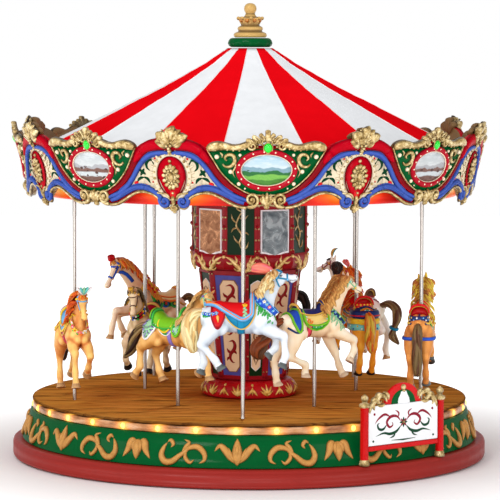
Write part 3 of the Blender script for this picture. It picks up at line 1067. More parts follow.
def sign_pieces():
    for side, name in ((-1, "left"), (1, "right")):
        b = Build()
        c = side * SIGN_HALF

        def ring(half, z, lean=0.0, round_=0.0):
            return [(half, z)]
        sections = [(2.6, 10.9, 1), (2.7, 11.4, 1), (2.6, 12.3, 1), (2.2, 12.6, 1), (2.5, 13.2, 1), (2.0, 13.9, 1), (1.95, 14.2, 0), (1.95, 43.2, 0), (2.3, 43.4, 1), (2.75, 44.0, 1), (2.75, 45.0, 1),
                    (2.2, 45.5, 1), (1.1, 46.1, 1)]
        n = 16
        verts, mats = [], []
        for half, z, mt in sections:
            for k in range(n):
                a = math.tau * (k + 0.5) / n
                p = 6.0 if mt == 0 else 3.5
                x, y = math.cos(a), math.sin(a)
                rr = half / (abs(x) ** p + abs(y) ** p) ** (1 / p)
                verts.append(sign_surf(c + x * rr, z, y * rr))
        faces = grid_faces(len(sections), n, wrap_c=True)
        faces += [tuple(range(n - 1, -1, -1)), tuple((len(sections) - 1) * n + k for k in range(n))]
        o = len(b.f)
        b.add(verts, faces, 1, True, [0.5 if mt and k < 2 else 0.1 for k, (h, z, mt) in enumerate(sections) for _ in range(n)])
        for i in range(len(sections) - 1):
            if sections[i][2] == 0 and sections[i + 1][2] == 0:
                for k in range(n):
                    b.m[o + i * n + k] = 0
        ball(b, sign_surf(c, 48.3, 0), 2.1, 1, seg=14, rings=9, wash_low=0.6)
        ball(b, sign_surf(c, 50.2, 0), 0.7, 1, seg=8, rings=6)
        ball(b, sign_surf(c, 46.3, 0), 1.35, 1, axes=((1.5, 0, 0), (0, 1.5, 0), (0, 0, 0.7)), seg=12, rings=6, wash=0.4)
        obj = b.object(f"sign_post_{name}_painted", [BRIGHT_RED, GOLD])
        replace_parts(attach(obj, "base"), f"sign_post_{name}")
    # board: white plate with a raised edge and a plain flourish in place of lettering
    b = Build()
    outline = [(-26.0, 21.5), (26.0, 21.5), (26.0, 40.6), (25.0, 42.4), (22.8, 43.5), (-22.8, 43.5), (-25.0, 42.4), (-26.0, 40.6)]
    flat(b, sign_surf, outline, -0.9, 0.9, 0, bevel=0.25)
    f = lambda u, z, h: sign_surf(u, z, h + 0.85)
    for q in (-1, 1):
        leaf(b, f, [(q * 1.4, 33.0), (q * 5.0, 36.6), (q * 9.6, 36.8), (q * 12.6, 34.0), (q * 10.6, 31.0), (q * 8.0, 32.2), (q * 9.2, 34.4)], 0.9, 0.35, 1, edge_wash=0)
        leaf(b, f, [(q * 9.6, 36.6), (q * 14.0, 38.4), (q * 18.6, 36.4), (q * 21.6, 33.4)], 0.75, 0.35, 1, edge_wash=0)
        leaf(b, f, [(q * 12.2, 33.0), (q * 15.2, 30.2), (q * 18.4, 30.6), (q * 19.4, 33.0), (q * 17.6, 34.0)], 0.8, 0.35, 2, edge_wash=0)
        leaf(b, f, [(q * 1.6, 31.6), (q * 5.4, 28.2), (q * 10.2, 27.2), (q * 15.0, 28.0), (q * 21.4, 26.4)], 0.9, 0.35, 2, edge_wash=0)
        leaf(b, f, [(q * 6.0, 28.4), (q * 7.4, 25.8), (q * 10.6, 24.8)], 0.6, 0.3, 2, edge_wash=0)
        leaf(b, f, [(q * 4.0, 36.0), (q * 3.8, 38.6), (q * 6.6, 40.4)], 0.6, 0.3, 1, edge_wash=0)
        bead(b, f, q * 21.8, 39.0, 0.8, 1, high=0.35, wash=0)
        bead(b, f, q * 22.6, 24.0, 0.7, 2, high=0.35, wash=0)
    for k in range(8):
        a = math.tau * k / 8
        leaf(b, f, [(0.6 * math.cos(a), 33.0 + 0.6 * math.sin(a)), (1.8 * math.cos(a), 33.0 + 1.8 * math.sin(a)), (3.0 * math.cos(a), 33.0 + 3.0 * math.sin(a))], 0.62, 0.4, 1 if k % 2 else 2, edge_wash=0)
    bead(b, f, 0, 33.0, 0.9, 3, high=0.5)
    strip(b, f, [(-9.0, 23.6), (-3, 23.3), (0, 23.2), (3, 23.3), (9.0, 23.6)], [0.1, 0.35, 0.5, 0.35, 0.1], 0.3, 2, edge_wash=0)
    ink_red = paint("sign_red_ink", lin(140, 20, 44), 0.4)
    ink_green = paint("sign_green_ink", lin(14, 66, 42), 0.4)
    obj = b.object("sign_board_flourish", [WHITE, ink_red, ink_green, GOLD])
    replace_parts(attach(obj, "base"), "sign_board")
    b = Build()
    flat(b, sign_surf, [(-26.1, 18.6), (26.1, 18.6), (26.1, 21.2), (-26.1, 21.2)], -1.1, 1.1, 0, bevel=0.3)
    obj = b.object("sign_rail_painted", [BRIGHT_RED])
    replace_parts(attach(obj, "base"), "sign_rail")
    # crest: red outer arch, green inner arch, white tab, gold knob, gold leaf corners
    b = Build()
    arc = lambda R, a0, a1, n=18, zc=43.7: [(R * math.cos(math.radians(a0 + (a1 - a0) * k / n)), zc + R * 0.86 * math.sin(math.radians(a0 + (a1 - a0) * k / n))) for k in range(n + 1)]
    flat(b, sign_surf, arc(13.2, 0, 180), -1.1, 0.5, 0, bevel=0.3)
    flat(b, sign_surf, arc(9.0, 0, 180), 0.3, 0.9, 1, bevel=0.25)
    flat(b, sign_surf, [(-4.4, 43.6), (4.4, 43.6), (4.0, 46.4), (2.6, 48.6), (1.8, 50.4), (-1.8, 50.4), (-2.6, 48.6), (-4.0, 46.4)], 0.5, 1.3, 2, bevel=0.25)
    bead(b, sign_surf, 0, 52.6, 2.0, 3, rz=1.8, base=0.2, high=1.6)
    bead(b, sign_surf, 0, 50.6, 1.3, 3, rz=0.8, base=0.8, high=1.0)
    for q in (-1, 1):
        for pts, wd in (([(11.6, 44.0), (13.6, 48.0), (17.4, 49.0), (19.4, 46.4), (17.4, 44.8), (15.8, 46.2)], 1.5), ([(10.8, 46.0), (12.0, 49.4), (14.8, 51.0)], 1.2),
                        ([(17.0, 45.6), (20.4, 46.4), (23.6, 44.0), (25.2, 40.4), (24.0, 38.2)], 1.4), ([(21.2, 45.8), (22.4, 42.6), (20.8, 40.8)], 1.0),
                        ([(13.0, 44.2), (16.6, 43.4), (20.6, 43.6)], 1.1), ([(15.0, 49.2), (18.6, 50.0), (21.0, 48.0)], 1.0), ([(18.8, 48.2), (22.0, 47.4), (23.6, 45.4)], 1.0)):
            leaf(b, lambda u, z, h: sign_surf(u, z, h), [(q * x, z) for x, z in pts], wd, 1.6, 3, base=0.1, peak=0.4)
            leaf(b, lambda u, z, h: sign_surf(u, z, -h - 0.2), [(q * x, z) for x, z in pts], wd, 0.9, 3, base=0.0, peak=0.4)
    obj = b.object("sign_crest_arch", [BRIGHT_RED, GREEN, WHITE, GOLD])
    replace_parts(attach(obj, "base"), "sign_crest")

# ------------------------------------------------------------------ cornice boards
PER_DEG = 2.374
CUT = 36.05
PITCH = 106.83
MID = PITCH / 2


def cornice_surf(k):
    def surf(u, z, h):
        return at(132.9 + (z - 172.0) * 0.22 + h, 3.9 + 45.0 * k + u / PER_DEG, z)
    return surf


def lookup(points):
    xs, ys = [p[0] for p in points], [p[1] for p in points]
    return lambda u: float(np.interp(abs(u), xs, ys))


def over_board(f):
    """A table in |u| from the oval, repeated past the medallion."""
    return lambda u: f(u) if abs(u) <= MID else f(PITCH - u)


FOOT = over_board(lookup([(0, 156.0), (6, 155.4), (11.2, 154.6), (16.2, 155.4), (20.4, 157.2), (24.7, 159.6), (30.3, 162.2), (34.4, 162.9), (39.5, 161.8), (44.0, 159.0), (48.0, 156.6), (53.4, 154.6)]))
HEAD = over_board(lookup([(0, 188.4), (29, 188.2), (32, 185.6), (34.1, 187.2), (36.8, 188.9), (40.8, 190.4), (45.6, 191.4), (53.4, 191.4)]))
BLUE_UPPER = [(52.2, 183.6, 1.0), (50.0, 183.9, 1.3), (46.1, 183.7, 1.45), (41.3, 182.5, 1.5), (37.2, 179.8, 1.5), (33.2, 175.4, 1.5), (29.3, 169.8, 1.5), (24.5, 164.6, 1.5), (18.9, 161.0, 1.4), (13.3, 158.9, 1.2), (10.6, 158.0, 0.9)]
BLUE_LOWER = [(45.6, 159.2, 1.3), (44.0, 160.9, 1.5), (39.5, 163.4, 1.6), (34.4, 164.5, 1.6), (29.5, 164.0, 1.6), (24.6, 162.0, 1.6), (20.4, 159.9, 1.5), (16.2, 157.8, 1.4), (12.5, 156.6, 1.2)]
GOLD_EDGE = [(46.4, 156.2, 0.5), (44.0, 158.6, 0.65), (41.1, 160.5, 0.7), (36.0, 161.8, 0.7), (30.3, 161.3, 0.7), (24.7, 158.7, 0.75), (20.4, 156.3, 0.8), (16.2, 154.6, 0.85), (11.2, 153.9, 0.95)]
BAND = [(39.0, 186.6, 2.6), (36.2, 184.3, 2.7), (33.4, 181.1, 2.5), (30.6, 177.2, 2.3), (27.6, 172.9, 2.15), (24.2, 168.8, 2.0), (20.2, 165.2, 1.75), (15.3, 162.4, 1.45), (11.4, 160.8, 1.2), (9.4, 160.2, 1.0)]
SHOULDER = [(53.4, 188.2, 3.4), (48.5, 188.4, 3.5), (44.0, 188.0, 3.5), (40.2, 186.9, 3.3), (37.0, 184.9, 3.0), (34.4, 182.2, 2.5), (32.6, 179.8, 1.8), (31.6, 178.4, 0.8)]
GREEN_EDGE = [(32.6, 186.2), (31.2, 183.6), (28.9, 179.6), (25.6, 174.2), (22.3, 170.4), (18.2, 166.6), (14.0, 163.9), (10.5, 162.2), (6.3, 161.2), (0.0, 160.8)]


def part_of(rows, inner):
    """The stretch of a line on one side of the joint between boards."""
    rows = [tuple(r) for r in rows]
    out = []
    for a, c in zip(rows, rows[1:]):
        ia, ic = abs(a[0]) <= CUT, abs(c[0]) <= CUT
        if ia == inner and (not out or out[-1] != a):
            out.append(a)
        if ia != ic:
            t = (CUT - a[0]) / (c[0] - a[0])
            out.append(tuple(x + (y - x) * t for x, y in zip(a, c)))
        if ic == inner:
            out.append(c)
    clean = []
    for r in out:
        if not clean or math.dist(clean[-1][:2], r[:2]) > 1e-4:
            clean.append(r)
    return clean


def sides(rows):
    """All four courses of a mirrored line on one board."""
    rows = [tuple(r) for r in smooth_line(rows, 4)]
    inner, outer = part_of(rows, True), part_of(rows, False)
    out = []
    if len(inner) > 1:
        out += [[(q * r[0], *r[1:]) for r in inner] for q in (-1, 1)]
    if len(outer) > 1:
        out += [outer, [(PITCH - r[0], *r[1:]) for r in outer]]
    return out


def side_strip(b, surf, rows, height, mat, base=0.2, n=7, edge_wash=0.6, grow=0.0):
    for line in sides(rows):
        w = [r[2] + grow for r in line]
        strip(b, surf, line, w, [height * min(1.0, 0.35 + x / 1.6) for x in w], mat, base, n, edge_wash)


def spiral(cu, cz, r0, r1, a0, a1, n=34):
    out = []
    for k in range(n):
        t = k / (n - 1)
        r = r0 + (r1 - r0) * t ** 0.9
        a = math.radians(a0 + (a1 - a0) * t)
        out.append((cu + r * math.cos(a), cz + r * math.sin(a)))
    return out


def curl(b, surf, line, w0, w1, height, mat, base=0.2, edge_wash=0.8):
    n = len(line)
    w = [w0 + (w1 - w0) * k / (n - 1) for k in range(n)]
    strip(b, surf, line, w, [height * (0.8 + 0.3 * k / (n - 1)) for k in range(n)], mat, base, 7, edge_wash)


def lobe(b, surf, line, width, lift, mat, thick=1.6, back=None):
    """A fat curled leaf standing off the board: line of (u, z, stand-off)."""
    p = smooth_line(line, 4)
    n = len(p)
    t = np.linspace(0, 1, n)
    swell = np.clip(np.sin(math.pi * np.clip(t * 0.86 + 0.12, 0, 1)) ** 0.6, 0.12, 1)
    pts = [surf(q[0], q[1], q[2]) for q in p]
    nrm = [np.array(surf(q[0], q[1], q[2] + 1.0)) - np.array(surf(q[0], q[1], q[2])) for q in p]
    tube(b, pts, width * swell, thick * swell, sides=10, mat=mat, normals=nrm, wash_ends=0.25)
    # a vein and two grooves drawn as fine ridges
    for off in (-0.45, 0.0, 0.45):
        q2 = []
        for i in range(n):
            d = p[min(i + 1, n - 1)] - p[max(i - 1, 0)]
            l = math.hypot(d[0], d[1]) or 1.0
            q2.append(surf(p[i][0] - d[1] / l * width * off * swell[i], p[i][1] + d[0] / l * width * off * swell[i], p[i][2] + thick * swell[i] * (0.98 if off == 0 else 0.86)))
        tube(b, q2, 0.22, 0.2, sides=5, mat=mat if off == 0 else (back if back is not None else mat), wash=0.0 if off == 0 else 0.9)


def slab(b, surf, line, width, thick, mat):
    """A thick blunt leaf that rolls outward, its face nearly flat with a dark step round it."""
    p = smooth_line(line, 4)
    n = len(p)
    seg = 12
    verts, washes = [], []
    for i in range(n):
        t = i / (n - 1)
        w = width * min(1.0, 0.55 + 1.6 * t) * (1.0 if t < 0.86 else math.sqrt(max(0.0, 1 - ((t - 0.86) / 0.145) ** 2)))
        w = max(w, 0.12)
        d = p[min(i + 1, n - 1)] - p[max(i - 1, 0)]
        l = math.hypot(d[0], d[1]) or 1.0
        for k in range(seg):
            a = math.tau * (k + 0.5) / seg
            ca, sa = math.cos(a), math.sin(a)
            x = math.copysign(abs(ca) ** 0.55, ca) * w
            y = math.copysign(abs(sa) ** 0.55, sa) * thick * (0.35 + 0.65 * min(1.0, w / width)) + 0.18 * math.sin(9.0 * t + 2.0 * ca) * (1 if sa > 0 else 0)
            verts.append(surf(p[i][0] - d[1] / l * x, p[i][1] + d[0] / l * x, p[i][2] + y))
            washes.append(0.3 if abs(sa) < 0.5 else (0.7 if sa < 0 else 0.05 + 0.6 * max(0.0, 0.2 - t) / 0.2))
    faces = grid_faces(n, seg, wrap_c=True)
    o = len(verts)
    verts += [surf(p[0][0], p[0][1], p[0][2]), surf(p[-1][0], p[-1][1], p[-1][2])]
    washes += [0.9, 0.5]
    faces += [(o, (k + 1) % seg, k) for k in range(seg)] + [(o + 1, (n - 1) * seg + k, (n - 1) * seg + (k + 1) % seg) for k in range(seg)]
    b.add(verts, faces, mat, True, washes)


# paint indices on a board
C_RED, C_MAROON, C_GREEN, C_GOLD, C_BLUE, C_CREAM, C_LEAF, C_BRIGHT, C_PALE, C_GEM, C_BACK, C_PIC = range(12)
C_FIELD = 13


def picture_disc(b, surf, a, c, zc, h, mat):
    rings, seg = 7, 48
    verts = [surf(0, zc, h + 0.5)]
    for i in range(1, rings + 1):
        t = i / rings
        for k in range(seg):
            ang = math.tau * k / seg
            verts.append(surf(a * t * math.cos(ang), zc + c * t * math.sin(ang), h + 0.5 * (1 - t * t)))
    faces = [(0, 1 + k, 1 + (k + 1) % seg) for k in range(seg)]
    for i in range(rings - 1):
        o = 1 + i * seg
        faces += [(o + k, o + seg + k, o + seg + (k + 1) % seg, o + (k + 1) % seg) for k in range(seg)]
    o = 1 + (rings - 1) * seg
    n0 = len(verts)
    verts += [surf(a * math.cos(math.tau * k / seg), zc + c * math.sin(math.tau * k / seg), h - 0.5) for k in range(seg)]
    faces += [(o + k, n0 + k, n0 + (k + 1) % seg, o + (k + 1) % seg) for k in range(seg)]
    faces += [tuple(n0 + k for k in range(seg - 1, -1, -1))]
    b.add(verts, faces, mat, True)


def picture_material(k):
    """A small painted view: pale sky with soft cloud, blue hills, meadow bands and round bushes. u and v come from the board's own curve."""
    m = Mat(f"oval_picture_{k + 1}", 0.3, 0.0, 0.35)
    x, y, z = m.xyz()
    turn = m.math("ARCTAN2", x, m.math("MULTIPLY", y, -1.0))
    centre = math.radians(3.9 + 45.0 * k)
    if centre > math.pi:
        centre -= math.tau
    d = m.math("SUBTRACT", turn, centre)
    if abs(abs(centre) - math.pi) < 0.3:
        d = m.math("SUBTRACT", m.math("MODULO", m.math("ADD", d, 3 * math.pi), math.tau), math.pi)
    u = m.math("MULTIPLY", d, 133.7 / 14.2)
    v = m.math("DIVIDE", m.math("SUBTRACT", z, 0.1747), 0.0087)
    cmb = m.node("ShaderNodeCombineXYZ")
    m.link(u, cmb.inputs[0])
    m.link(v, cmb.inputs[1])
    cmb.inputs[2].default_value = 3.7 * k
    uv = cmb.outputs[0]
    warm = k % 2 == 1
    cloud = m.noise(1.6, 4.0, 0.6, stretch=(1.0, 2.4, 1.0), coords=uv)
    sky = m.ramp(m.remap(v, -0.1, 1.0), [(0.0, lin(194, 196, 196) if warm else lin(194, 206, 210)), (1.0, lin(172, 182, 186) if warm else lin(140, 178, 198))])
    sky = m.mix(m.remap(cloud, 0.45, 0.65, 0.0, 0.7), sky, lin(208, 212, 214))

    def below(level, wave, amp, seed):
        c2 = m.node("ShaderNodeCombineXYZ")
        m.link(u, c2.inputs[0])
        c2.inputs[1].default_value = seed + k * 1.3
        edge = m.math("ADD", m.math("MULTIPLY", m.math("SUBTRACT", m.noise(wave, 2.0, coords=c2.outputs[0]), 0.5), amp), level)
        return m.remap(m.math("SUBTRACT", v, edge), -0.03, 0.03, 1.0, 0.0)

    fine = m.noise(9.0, 4.0, 0.7, coords=uv)
    col = m.mix(below(0.16, 1.3, 1.0, 2.0), sky, m.mix(fine, lin(92, 128, 150) if not warm else lin(142, 142, 148), lin(140, 170, 176) if not warm else lin(178, 178, 180)))
    col = m.mix(below(-0.08, 2.0, 0.55, 7.0), col, m.mix(fine, lin(16, 74, 40) if not warm else lin(74, 44, 40), lin(54, 120, 60) if not warm else lin(140, 104, 92)))
    col = m.mix(below(-0.30, 0.9, 0.5, 12.0), col, m.mix(fine, lin(70, 150, 60) if not warm else lin(172, 182, 186), lin(138, 186, 84) if not warm else lin(204, 208, 210)))
    col = m.mix(below(-0.58, 1.2, 0.4, 21.0), col, m.mix(fine, lin(28, 104, 52) if not warm else lin(78, 50, 46), lin(92, 140, 48) if not warm else lin(128, 96, 84)))
    vor = m.node("ShaderNodeTexVoronoi")
    vor.inputs["Scale"].default_value = 2.6
    vor.inputs["Randomness"].default_value = 0.8
    m.link(uv, vor.inputs["Vector"])
    bush = m.math("MULTIPLY", m.math("LESS_THAN", vor.outputs["Distance"], 0.26), m.math("MULTIPLY", m.math("LESS_THAN", v, 0.02), m.math("GREATER_THAN", v, -0.78)))
    col = m.mix(bush, col, m.mix(fine, lin(8, 52, 28) if not warm else lin(48, 30, 28), lin(44, 96, 40) if not warm else lin(98, 66, 58)))
    rim = m.math("ADD", m.math("MULTIPLY", u, u), m.math("MULTIPLY", v, v))
    col = m.mix(m.remap(rim, 0.86, 0.96, 0.0, 0.9), col, lin(248, 246, 240))
    m.color(col)
    m.bump(fine, 0.1, 0.0002)
    return m.mat


def cornice_pieces():
    back = paint("cornice_back", lin(128, 98, 62), 0.5, wash=lin(70, 48, 24), mottle=0.2, scale=200)
    leaf_green = paint("cornice_leaf", lin(6, 56, 32), 0.35, wash=lin(0, 24, 12))
    red = paint("cornice_red", lin(178, 0, 24), 0.34, wash=lin(64, 0, 10), coat=0.15, mottle=0.16, amount=1.0)
    field_red = paint("medallion_red", lin(188, 6, 26), 0.3, wash=lin(92, 0, 14), coat=0.4, mottle=0.12)
    for k in range(8):
        surf = cornice_surf(k)
        b = Build()
        # the plate itself
        us = list(np.linspace(-36.0, 70.6, 78))
        field(b, surf, us, FOOT, HEAD, 0.2, C_RED, rows=9, thick=2.3)
        half = 78 * 9
        nf = (78 - 1) * 8
        for i in range(nf, 2 * nf):
            b.m[i] = C_BACK
        # rounded gold sill along the foot, the board's full thickness
        pts = [(u, FOOT(u) - 0.25) for u in np.linspace(-36.0, 70.6, 96)]
        line = [surf(u, z, -0.9) for u, z in pts]
        nrm = [np.array(surf(u, z, 0.2)) - np.array(surf(u, z, -0.9)) for u, z in pts]
        tube(b, line, 0.7, 1.7, sides=8, mat=C_GOLD, normals=nrm, wash=0.35)
        # shield field and its fine gold border
        green = over_board(lookup(GREEN_EDGE[::-1]))
        field(b, surf, list(np.linspace(-32.2, 32.2, 44)), lambda u: green(u), lambda u: max(green(u) + 0.3, min(186.6, 187.2)), 0.75, C_GREEN, rows=8, thick=0.8)
        for q in (-1, 1):
            strip(b, surf, [(q * u, z) for u, z in smooth_line(GREEN_EDGE, 4)], 0.38, 0.9, C_GOLD, 0.75, 5, 0.3)
        # maroon band, red shoulder
        side_strip(b, surf, BAND, 1.3, C_MAROON, 0.2, 7, 0.5)
        side_strip(b, surf, SHOULDER, 2.4, C_RED, 0.1, 9, 0.7)
        side_strip(b, surf, [(u, z - 0.78 * w, 0.5) for u, z, w in SHOULDER[:-1]], 1.2, C_MAROON, 1.1, 6, 0.5)
        inner_line = [(u - 0.2, z - 0.35 * w - 0.5, 0.3) for u, z, w in BAND[2:]]
        side_strip(b, surf, inner_line, 0.6, C_RED, 1.1, 5, 0.2)
        # cream panels between the rails
        hi = lookup([(24.5, 164.6), (29.3, 169.8), (33.2, 175.4), (37.2, 179.8), (41.3, 182.5), (46.1, 183.6), (50.0, 183.7), (53.4, 183.4)])
        lo = lookup([(24.5, 162.0), (29.5, 164.0), (34.4, 164.5), (39.5, 163.4), (44.0, 160.9), (46.4, 158.6), (50.0, 157.5), (53.4, 158)])
        for q in (-1, 1):
            field(b, surf, list(np.linspace(q * 25.0, q * 36.03, 10)), lo, hi, 0.5, C_CREAM, rows=7, thick=0.6)
        field(b, surf, list(np.linspace(36.1, 70.6, 30)), over_board(lo), over_board(hi), 0.5, C_CREAM, rows=8, thick=0.6)
        # painted leaves and dots on the cream; those past the joint lie on the next board's share
        for pts, w in (([(42.9, 177.2), (42.0, 179.6), (39.8, 179.6), (38.4, 177.6), (38.6, 175.4), (40.2, 173.8)], 0.95),
                       ([(39.8, 166.8), (38.4, 169.2), (35.8, 170.0), (33.2, 169.2), (31.4, 167.4)], 0.85)):
            for line in sides([(u, z, w) for u, z in pts]):
                if len(line) > 4:
                    n = len(line)
                    ww = [w * max(0.1, math.sin(math.pi * (0.08 + 0.84 * i / (n - 1)))) for i in range(n)]
                    strip(b, surf, line, ww, [0.35 * x / w + 0.05 for x in ww], C_LEAF, 0.48, 6, 0.1)
        for mu in (35.5, 71.33):
            q = -1 if mu > 60 else 1
            for ang, ln in ((35, 3.0), (125, 2.4), (215, 2.6), (305, 2.8)):
                a = math.radians(ang)
                if mu > 60:
                    continue
                for s_ in (-1, 1):
                    leaf(b, surf, [(s_ * mu, 173.0), (s_ * (mu - math.cos(a) * ln * 0.5), 173.0 + math.sin(a) * ln * 0.5), (s_ * (mu - math.cos(a) * ln), 173.0 + math.sin(a) * ln)], 0.85, 0.4, C_LEAF, 0.45, 0.1, peak=0.3)
        for u, z, r in ((43.9, 180.6, 0.7), (41.6, 167.6, 0.6), (43.2, 171.6, 0.45), (37.4, 165.9, 0.45)):
            bead(b, surf, u, z, r, C_BRIGHT, base=0.45, high=0.35, seg=7, rings=4, wash=0)
            bead(b, surf, PITCH - u, z, r, C_BRIGHT, base=0.45, high=0.35, seg=7, rings=4, wash=0)
        for q in (-1, 1):
            leaf(b, surf, [(q * 29.6, 165.6), (q * 30.8, 166.6), (q * 32.4, 168.0)], 1.3, 0.5, C_BRIGHT, 0.45, 0.1)
        # blue rails, each a main ridge with a fine one beside it
        side_strip(b, surf, BLUE_UPPER, 1.9, C_BLUE, 0.35, 8, 0.95)
        side_strip(b, surf, [(u - 0.1, z + 1.55, 0.42) for u, z, w in BLUE_UPPER[1:-2]], 1.1, C_BLUE, 0.6, 6, 0.5)
        side_strip(b, surf, [(u + 0.1, z - 1.5, 0.36) for u, z, w in BLUE_UPPER[1:-3]], 0.9, C_BLUE, 0.5, 5, 0.6)
        side_strip(b, surf, BLUE_LOWER, 2.0, C_BLUE, 0.35, 8, 0.9)
        side_strip(b, surf, [(u, z - 0.15, 0.5) for u, z, w in BLUE_LOWER[2:-2]], 0.6, C_BLUE, 2.1, 5, 0.9)
        side_strip(b, surf, [(u, z + 1.7, 0.4) for u, z, w in BLUE_LOWER[2:-3]], 0.9, C_BLUE, 0.6, 6, 0.5)
        for q in (-1, 1):
            leaf(b, surf, [(q * 27.0, 164.0), (q * 21.5, 160.9), (q * 16.0, 158.6), (q * 11.8, 157.4)], 1.7, 1.0, C_BLUE, 0.4, 0.5)
        # gold edging and the scrolls it ends in
        side_strip(b, surf, GOLD_EDGE, 2.0, C_GOLD, 0.2, 7, 0.8)
        for q in (-1, 1):
            sp = spiral(-8.2, 158.4, 4.3, 0.7, -118, 470)
            curl(b, surf, [(-q * x, z) for x, z in sp], 1.15, 0.8, 2.6, C_GOLD, 0.4)
            bead(b, surf, q * 8.2, 158.4, 1.25, C_GOLD, base=1.2, high=2.3)
            ballast = [(q * 9.4, 156.0), (q * 6.0, 155.2), (q * 3.9, 157.6)]
            leaf(b, surf, ballast, 0.9, 2.0, C_GOLD, 0.2, 0.9)
        # shell under the oval
        for j, (dx, top, w) in enumerate(((-3.4, 160.2, 1.3), (3.4 + 0.8, 160.2, 1.3), (-1.9, 162.0, 1.35), (2.7, 162.0, 1.35), (0.4, 162.9, 1.5))):
            leaf(b, surf, [(0.4, 154.4), (0.4 + (dx - 0.4) * 0.75, 157.8), (dx, top)], w, 2.8 + 0.35 * (j // 2), C_GOLD, 0.4, 0.9, peak=0.62)
        bead(b, surf, 0.4, 154.4, 1.7, C_GOLD, rz=1.4, base=0.4, high=2.4)
        leaf(b, surf, [(0.4, 162.2), (0.4, 164.0), (0.4, 165.4)], 0.9, 1.4, C_GREEN, 0.6, 0.3)
        # oval frame, picture, dots
        ell = lambda a, c, n=56: [(a * math.cos(math.tau * i / n), 174.7 + c * math.sin(math.tau * i / n)) for i in range(n)]
        picture_disc(b, surf, 14.4, 8.9, 174.7, 0.9, C_PIC)
        strip(b, surf, ell(15.6, 10.1), 1.65, 1.75, C_MAROON + 100, 0.7, 8, 0.3, closed=True)
        strip(b, surf, ell(14.1, 8.6), 0.22, 0.5, C_PALE, 1.1, 5, 0.0, closed=True)
        for i in range(16):
            a = math.tau * (i + 0.25) / 16
            bead(b, surf, 15.7 * math.cos(a), 174.7 + 10.15 * math.sin(a), 0.56, C_PALE, base=2.15, high=0.6, seg=7, rings=4, wash=0.3)
        # gem, crest and arms
        bead(b, surf, 0.5, 186.9, 2.3, C_GEM, rz=2.8, base=1.6, high=2.0, seg=18, rings=8, wash=0.35)
        strip(b, surf, [(0.5 + 2.5 * math.cos(math.tau * i / 20), 186.9 + 3.0 * math.sin(math.tau * i / 20)) for i in range(20)], 0.35, 0.7, C_GOLD, 1.6, 5, 0.6, closed=True)
        slab(b, surf, [(0.4, 189.6, 0.4), (0.4, 192.4, 0.7), (0.4, 195.0, 0.8), (0.4, 197.0, 0.6)], 1.5, 1.6, C_GOLD)
        for q in (-1, 1):
            slab(b, surf, [(q * 1.2, 190.0, 0.4), (q * 2.4, 192.2, 0.8), (q * 3.3, 193.8, 0.9), (q * 4.2, 194.6, 0.8)], 1.25, 1.5, C_GOLD)
            slab(b, surf, [(q * 2.6, 189.4, 0.4), (q * 4.8, 191.2, 0.8), (q * 6.6, 192.6, 1.1), (q * 8.2, 193.0, 0.9)], 1.35, 1.5, C_GOLD)
            slab(b, surf, [(q * 4.6, 188.6, 0.4), (q * 7.4, 190.0, 0.9), (q * 9.6, 191.0, 1.1), (q * 11.4, 190.8, 0.9)], 1.3, 1.5, C_GOLD)
            for x0, z0 in ((1.9, 191.6), (4.4, 190.9), (6.6, 189.9)):
                leaf(b, surf, [(q * x0, z0), (q * (x0 + 1.2), z0 + 1.3), (q * (x0 + 2.6), z0 + 2.4)], 0.34, 0.6, C_BACK, 2.3, 1.0)
            for x0, z0, r in ((1.3, 193.0, 0.55), (3.2, 191.6, 0.6), (5.6, 190.4, 0.6), (8.8, 189.6, 0.65), (2.4, 188.8, 0.7), (5.2, 187.6, 0.6)):
                bead(b, surf, q * x0, z0, r, C_GOLD, base=1.7, high=1.0, seg=8, rings=5, wash=0.9)
            curl(b, surf, [(q * x, z) for x, z in spiral(7.9, 188.0, 2.5, 0.4, 40, -430, 26)], 0.85, 0.6, 2.2, C_GOLD, 0.9)
            curl(b, surf, [(q * x, z) for x, z in spiral(3.9, 190.4, 1.5, 0.3, 150, 560, 20)], 0.55, 0.4, 1.6, C_GOLD, 1.4)
            arm = smooth_line([(8.0, 189.6, 1.5), (11.0, 188.6, 2.0), (14.6, 187.4, 2.0), (18.6, 187.2, 1.9), (22.6, 187.8, 2.3), (26.6, 188.0, 2.75), (30.0, 187.2, 2.6), (32.2, 186.2, 1.6)], 4)
            strip(b, surf, [(q * r[0], r[1]) for r in arm], [r[2] for r in arm], [1.2 + r[2] * 0.62 for r in arm], C_GOLD, 0.6, 10, 0.95)
            strip(b, surf, [(q * r[0], r[1] + r[2] * 0.52) for r in arm[2:-2]], 0.45, 0.8, C_BACK, 1.9, 5, 0.7)
            for j, (x0, z0) in enumerate(((12.4, 187.8), (15.4, 187.0), (18.6, 187.0), (21.8, 187.4), (25.0, 187.8), (28.2, 187.2))):
                leaf(b, surf, [(q * (x0 - 1.4), z0 - 1.0), (q * x0, z0 + 0.1), (q * (x0 + 1.6), z0 + 0.5 * (j % 2))], 0.75, 1.0, C_GOLD, 1.9, 1.0, peak=0.6)
                bead(b, surf, q * (x0 - 0.4), z0 - 1.5, 0.6, C_GOLD, base=1.6, high=1.2, seg=8, rings=5, wash=0.9)
            strip(b, surf, [(q * r[0], r[1] - r[2] * 0.45) for r in arm[4:-3]], 0.35, 0.5, C_BACK, 1.9, 5, 0.9)
            strip(b, lambda u, z, h: surf(u, z, -h), [(q * r[0], r[1]) for r in arm], [r[2] for r in arm], [1.0 + r[2] * 0.4 for r in arm], C_BACK, 0.2, 8, 0.5)
